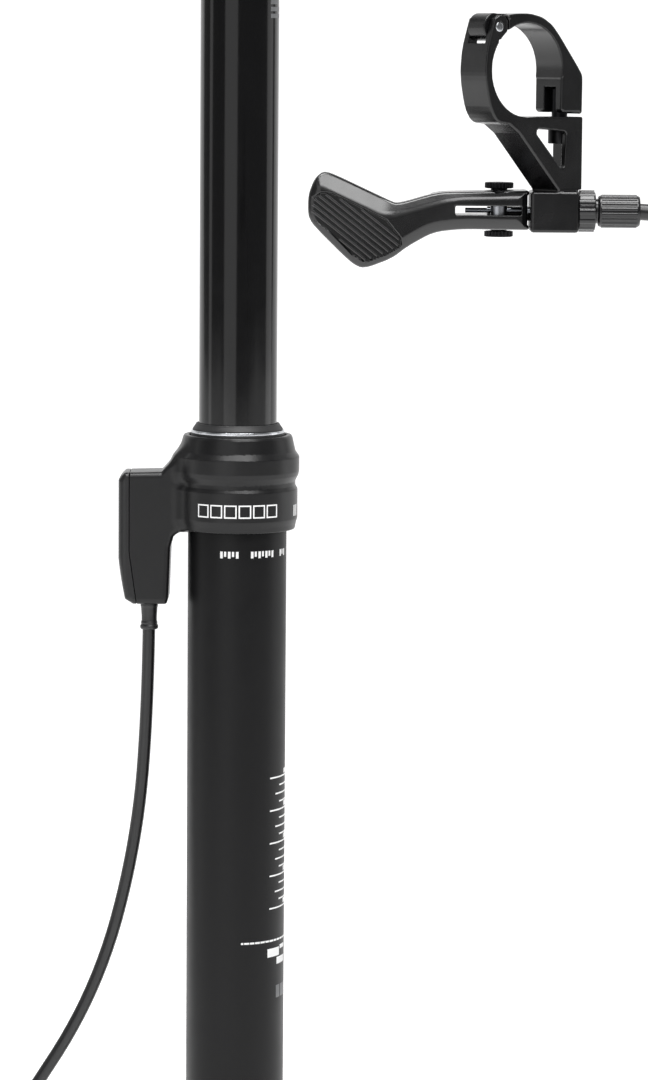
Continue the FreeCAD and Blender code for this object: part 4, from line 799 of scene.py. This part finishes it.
polished_steel = finish("polished stainless pin", "#c6c8cb", "#b2b4b8", 1.0, 0.16, 0.4, 0.001, spread=0.04)
pin = at_clamp(lathe("door_pin", [(0, -4.95), (1.15, -4.95), (1.15, 4.9), (0, 4.9)], 40, at=(-9.06, 0, 10.1),
                     along="Y", closed=False, soft=0.25))
ready(pin, "post", polished_steel, ["hinge_pin"])
bolt = at_clamp(lathe("clamp_screw", [(0, -4.4), (1.9, -4.4), (1.9, -14.2), (2.7, -14.2), (2.7, -17.6),
                                      (1.35, -17.6),
                                     (1.35, -16.2), (0, -16.2)], 40, at=(14.2, -0.5, 0), closed=False,
                      soft=0.2))
ready(bolt, "post", black_oxide, ["clamp_bolt"])

# ------------------------ thumb lever
# Forged aluminium, anodised black: a hub that holds the cable's anchor, an arm, and a thumb paddle with a
# smooth raised border and slanting grip ridges milled in its face.
SHAPE = eased([(6.6, 4.9), (1.0, 4.8), (-9.4, 4.5), (-15.3, 4.3), (-24.7, 1.5), (-26.7, 2.2), (-40.4, 8.6),
               (-42.8, 9.1),
               (-44.9, 7.3), (-46.4, 3.4), (-46.4, -1.4), (-45.2, -3.8), (-35.9, -12.9), (-32.8, -14.3),
               (-26, -11.7),
               (-22.3, -8.8), (-16.1, -5.3), (-9.4, -4.5), (1.0, -4.6), (6.6, -4.6)], share=0.2)
GRIP = [(-46.0, -1.6), (-45.6, 2.6), (-43.2, 4.2), (-40.6, 4.0), (-27.6, -2.2), (-24.0, -6.6), (-23.6, -8.4),
        (-27.2, -10.6), (-32.6, -12.6), (-35.6, -10.9), (-41.0, -5.4), (-44.2, -3.0)]


def lever_shape(x, y, z):
    side = outline(x, z, SHAPE, 0.6)
    depth = np.where(x > -17, 3.0, -3.0 + 0 * x)
    whole = round_max(side, np.maximum(-10 - y, y - depth), 0.6)
    whole = np.maximum(whole, np.where(x > 0, np.minimum(np.hypot(x, y) - 6.9, y + 0.1), -1e3))
    # front edges are chamfered all round, and widely along the paddle's top
    whole = round_max(whole, (side + 1.9) * 0.57 - (y + 10) * 0.82, 0.5)
    top = 0.418 * (x + 40.4) + 0.908 * (z - 8.6)
    arm = -0.267 * (x + 24.7) + 0.964 * (z - 1.7)
    bevel = smooth_min((top + 4.3) * 0.50 - (y + 10) * 0.866, (arm + 2.4) * 0.57 - (y + 10) * 0.82, 1.0)
    whole = round_max(whole, bevel, 0.6)
    whole = round_max(whole, -np.maximum(outline(x, z, GRIP, 0.9), y + 9.3), 0.3)
    gap = np.abs(z + 0.95) - 1.85
    whole = np.maximum(whole, -np.maximum(np.hypot(x, y) - 3.2, gap))
    whole = np.maximum(whole, -np.maximum(np.maximum(-1.5 - x, -3.2 - y), gap))
    slot = outline(x, z, [(-10.9, -1.05), (5.1, -1.05), (5.1, 1.15), (-10.9, 1.15)], 0.4)
    whole = round_max(whole, -slot, 0.25)
    whole = np.maximum(whole, -np.maximum(np.hypot(x + 0.3, y + 6) - 2.85, -3.2 - z))
    whole = np.maximum(whole, -slab(x, y, z, (2, -7.9, -1.05), (20, -1.6, 1.15)))
    whole = np.maximum(whole, 2.05 - np.hypot(x, y))
    return np.maximum(whole, -np.maximum(np.hypot(x, y) - 3.7, np.abs(z - 1.8) - 1.1))


lever = skin("lever_forging", lever_shape, steps(-47, 7.3, FINE), steps(-10.5, 3.5, FINE),
             steps(-14.6, 9.5, FINE), at=PIVOT)
lever_black = finish("black anodised forged lever", "#080809", "#0e0e0f", 0.0, 0.22, 0.5, 0.002, spread=0.04,
                     Specular_IOR_Level=0.6)
ready(lever, "thumb_lever", lever_black, ["lever"], smooth=0)

# grip ridges: each point becomes one rounded bar of its own length, laid slanting on the paddle
ridge_tree, given, result = new_tree("grip_ridges", Ridge_radius=0.0004, Slant=2.2, Finish=None)
bar = add(ridge_tree, "GeometryNodeMeshCylinder", {"Vertices": 12, "Radius": given["Ridge radius"],
                        "Depth": 1.0})
stretch = add(ridge_tree, "ShaderNodeCombineXYZ", {
    "X": 1.0, "Y": 1.0, "Z": add(ridge_tree, "GeometryNodeInputNamedAttribute",
                                 {"Name": "reach"}).outputs[0]})
leant = add(ridge_tree, "ShaderNodeCombineXYZ", {"Y": given["Slant"]})
laid = add(ridge_tree, "GeometryNodeInstanceOnPoints",
           {"Points": given["Geometry"], "Instance": bar.outputs["Mesh"],
                        "Scale": stretch.outputs[0],
            "Rotation": leant.outputs[0]})
whole = add(ridge_tree, "GeometryNodeRealizeInstances", {"Geometry": laid.outputs[0]})
dressed = add(ridge_tree, "GeometryNodeSetMaterial",
              {"Geometry": whole.outputs[0], "Material": given["Finish"]})
ridge_tree.links.new(dressed.outputs[0], result[0])
slant = math.radians(38)
along, over = np.array((math.cos(slant), -math.sin(slant))), np.array((math.sin(slant), math.cos(slant)))
middle = np.array((-34.4, -4.0))
spots, reaches = [], []
for k in range(-7, 8):
    t = np.linspace(-16, 16, 641)
    line = middle + over * 1.27 * k + along * t[:, None]
    kept = t[outline(line[:, 0], line[:, 1], GRIP, 0.9) < -0.45]
    if len(kept) > 40:
        centre = middle + over * 1.27 * k + along * (kept[0] + kept[-1]) / 2
        spots.append(((centre[0] + PIVOT[0]) * MM, (-9.25 + PIVOT[1]) * MM, (centre[1] + PIVOT[2]) * MM))
        reaches.append((kept[-1] - kept[0]) * MM)
base = bpy.data.meshes.new("grip_ridges")
base.from_pydata(spots, [], [])
base.attributes.new("reach", "FLOAT", "POINT").data.foreach_set("value", reaches)
ridges = grown("grip_ridges", base, ridge_tree, {"Ridge radius": 0.46 * MM, "Slant": math.pi / 2 + slant,
                        "Finish": lever_black})
ready(ridges, "thumb_lever", None, smooth=40)

# ------------------------ pivot, anchor and adjuster
# A steel pivot bolt and its nut have toothed heads; the cable's end is clamped in a small barrel.
# The adjuster and its lock ring are turned aluminium, fluted for the fingers.
fluted_tree, given, result = new_tree("flutes_round", Count=24, Radius=0.004, Rib_radius=0.0005,
                                      Rib_length=0.004,
                                      Middle=0.0, Finish=None)
circle = add(fluted_tree, "GeometryNodeMeshCircle", {"Vertices": given["Count"], "Radius": given["Radius"]})
lifted = add(fluted_tree, "GeometryNodeSetPosition", {
    "Geometry": circle.outputs["Mesh"],
    "Offset": add(fluted_tree, "ShaderNodeCombineXYZ", {"Z": given["Middle"]}).outputs[0]})
rib = add(fluted_tree, "GeometryNodeMeshCylinder", {"Vertices": 12, "Radius": given["Rib radius"],
                        "Depth": given["Rib length"]})
ribs = add(fluted_tree, "GeometryNodeInstanceOnPoints",
           {"Points": lifted.outputs[0], "Instance": rib.outputs["Mesh"]})
solid = add(fluted_tree, "GeometryNodeRealizeInstances", {"Geometry": ribs.outputs[0]})
both = add(fluted_tree, "GeometryNodeJoinGeometry")
fluted_tree.links.new(given["Geometry"], both.inputs[0])
fluted_tree.links.new(solid.outputs[0], both.inputs[0])
dressed = add(fluted_tree, "GeometryNodeSetMaterial",
              {"Geometry": both.outputs[0], "Material": given["Finish"]})
fluted_tree.links.new(dressed.outputs[0], result[0])


def fluted(name, core, count, radius, rib, length, middle, finished, turn, at):
    """A turned core with ribs round it, made upright and then carried to its place."""
    made = grown(name, core.data, fluted_tree, {"Count": count, "Radius": radius * MM, "Rib radius": rib * MM,
                        "Rib length": length * MM, "Middle": middle * MM,
                        "Finish": finished})
    made.data.transform(Matrix.Translation([w * MM for w in at]) @ turn)
    bpy.data.objects.remove(core)
    return made


upright, lengthways = Matrix.Identity(4), Matrix.Rotation(math.radians(90), 4, "Y")
disc = lathe("disc_core", [(0, -5.1), (2.0, -5.1), (2.0, 5.15), (3.25, 5.15), (3.25, 6.65), (1.3, 6.65),
                           (1.3, 5.6),
                           (0, 5.6)], 64, closed=False, soft=0.2)
pivot_bolt = fluted("pivot_screw", disc, 24, 3.14, 0.36, 1.3, 5.9, black_oxide, upright, PIVOT)
ready(pivot_bolt, "post", black_oxide, ["pivot_bolt"], smooth=35)
disc = lathe("nut_core", [(0, -6.6), (3.25, -6.6), (3.25, -5.15), (0, -5.15)], 64, closed=False, soft=0.2)
pivot_nut = fluted("pivot_cap", disc, 24, 3.14, 0.36, 1.25, -5.87, black_oxide, upright, PIVOT)
ready(pivot_nut, "post", black_oxide, ["pivot_nut"], smooth=35)
dress(plated_steel, "lever_spring", "anchor_screw")
dress(turned_alloy, "cable_anchor")

adjuster_black = finish("turned black anodised aluminium", "#0e0e0f", "#141416", 0.0, 0.24, 0.4, 0.003,
                        spread=0.04)
CABLE_AT = (PIVOT[0], PIVOT[1] - 6, PIVOT[2])
core = lathe("locker_core", [(3.05, 18.82), (4.5, 18.82), (4.75, 19.2), (4.75, 22.6), (4.5, 23.02),
                             (3.05, 23.02)], 64,
             soft=0.15)
locker = fluted("fluted_lock_ring", core, 12, 3.95, 1.08, 3.7, 20.92, adjuster_black, lengthways, CABLE_AT)
ready(locker, "adjuster_lock", adjuster_black, ["lock_ring"], smooth=35)
core = lathe("adjuster_core", [(1.0, 14.2), (3.0, 14.2), (3.0, 23.7), (3.5, 23.7), (3.8, 24.1), (3.8, 33.3),
                               (3.5, 33.8),
                               (2.67, 33.8), (2.67, 26.8), (1.0, 26.8)], 64, soft=0.15)
adjuster = fluted("fluted_adjuster", core, 18, 3.45, 0.55, 8.6, 28.75, adjuster_black, lengthways, CABLE_AT)
ready(adjuster, "adjuster", adjuster_black, ["barrel_adjuster"], smooth=35)

# ------------------------ floor and light
# A pale floor that curves up behind, under five soft lamps. To the lens and in reflections it is white,
# and it keeps the shadow under the object.
floor_z = CAD_BOX[0][2] - 0.0005
swept = bpy.data.meshes.new("studio_floor")
profile = [(-3.0, 0.0), (2.2, 0.0)] + [(2.2 + 1.2 * math.sin(a), 1.2 - 1.2 * math.cos(a)) for a in
                                       [math.pi / 2 * k / 16 for k in range(1, 17)]] + [(3.4, 4.5)]
verts = [(x, y, z + floor_z) for y, z in profile for x in (-4.5, 4.5)]
swept.from_pydata(verts, [], [(2 * i, 2 * i + 1, 2 * i + 3, 2 * i + 2) for i in range(len(profile) - 1)])
floor = bpy.data.objects.new("studio_floor", swept)
bpy.context.scene.collection.objects.link(floor)
floor.data.shade_smooth()
paper = bpy.data.materials.new("matt studio paper")
paper.use_nodes = True
tree = paper.node_tree
tree.nodes.clear()
ray = add(tree, "ShaderNodeLightPath")
seen = add(tree, "ShaderNodeMath", {0: ray.outputs["Is Camera Ray"], 1: ray.outputs["Is Glossy Ray"]},
           operation="MAXIMUM")
matt = add(tree, "ShaderNodeBsdfDiffuse", {"Color": linear("#d8d8d8")})
lift = add(tree, "ShaderNodeMath", {0: seen.outputs[0], 1: 0.76}, operation="MULTIPLY")
glow = add(tree, "ShaderNodeEmission", {"Color": linear("#ffffff"), "Strength": lift.outputs[0]})
dim = add(tree, "ShaderNodeAddShader", {0: matt.outputs[0], 1: glow.outputs[0]})
tree.links.new(dim.outputs[0], add(tree, "ShaderNodeOutputMaterial").inputs["Surface"])
floor.data.materials.append(paper)

world = bpy.data.worlds.new("studio")
bpy.context.scene.world = world
world.use_nodes = True
tree = world.node_tree
tree.nodes.clear()
ray = add(tree, "ShaderNodeLightPath")
seen = add(tree, "ShaderNodeMath", {0: ray.outputs["Is Camera Ray"], 1: ray.outputs["Is Transmission Ray"]},
           operation="MAXIMUM")
shine = add(tree, "ShaderNodeMapRange", {"Value": ray.outputs["Is Glossy Ray"], "To Min": 0.35,
                        "To Max": 0.20})
level = add(tree, "ShaderNodeMath", {0: shine.outputs["Result"], 1: seen.outputs[0]}, operation="MAXIMUM")
sky = add(tree, "ShaderNodeBackground", {"Color": linear("#ffffff"), "Strength": level.outputs[0]})
tree.links.new(sky.outputs[0], add(tree, "ShaderNodeOutputWorld").inputs["Surface"])


def softbox(name, spot, aim, wide, tall, watts):
    """A rectangular lamp aimed at a point."""
    lamp = bpy.data.lights.new(name, "AREA")
    lamp.shape = "RECTANGLE"
    lamp.size, lamp.size_y, lamp.energy = wide, tall, watts
    held = bpy.data.objects.new(name, lamp)
    held.location = spot
    held.rotation_euler = (Vector(aim) - Vector(spot)).to_track_quat("-Z", "Y").to_euler()
    bpy.context.scene.collection.objects.link(held)
    return held


softbox("front_softbox", (-0.75, -1.75, 0.35), (0, 0, 0.0), 1.3, 1.8, 7)
softbox("right_softbox", (1.5, 0.35, 0.3), (0, 0, 0), 0.7, 1.8, 4)
softbox("left_softbox", (-1.5, 0.0, 0.3), (0, 0, 0), 0.3, 1.8, 1.5)
softbox("overhead_softbox", (0, -0.35, 1.7), (0, -0.1, 0), 1.2, 0.8, 34)
softbox("high_front_softbox", (0.45, -1.35, 1.45), (0, -0.15, 0.05), 1.3, 0.7, 24)

bpy.context.scene.view_settings.view_transform = "Standard"
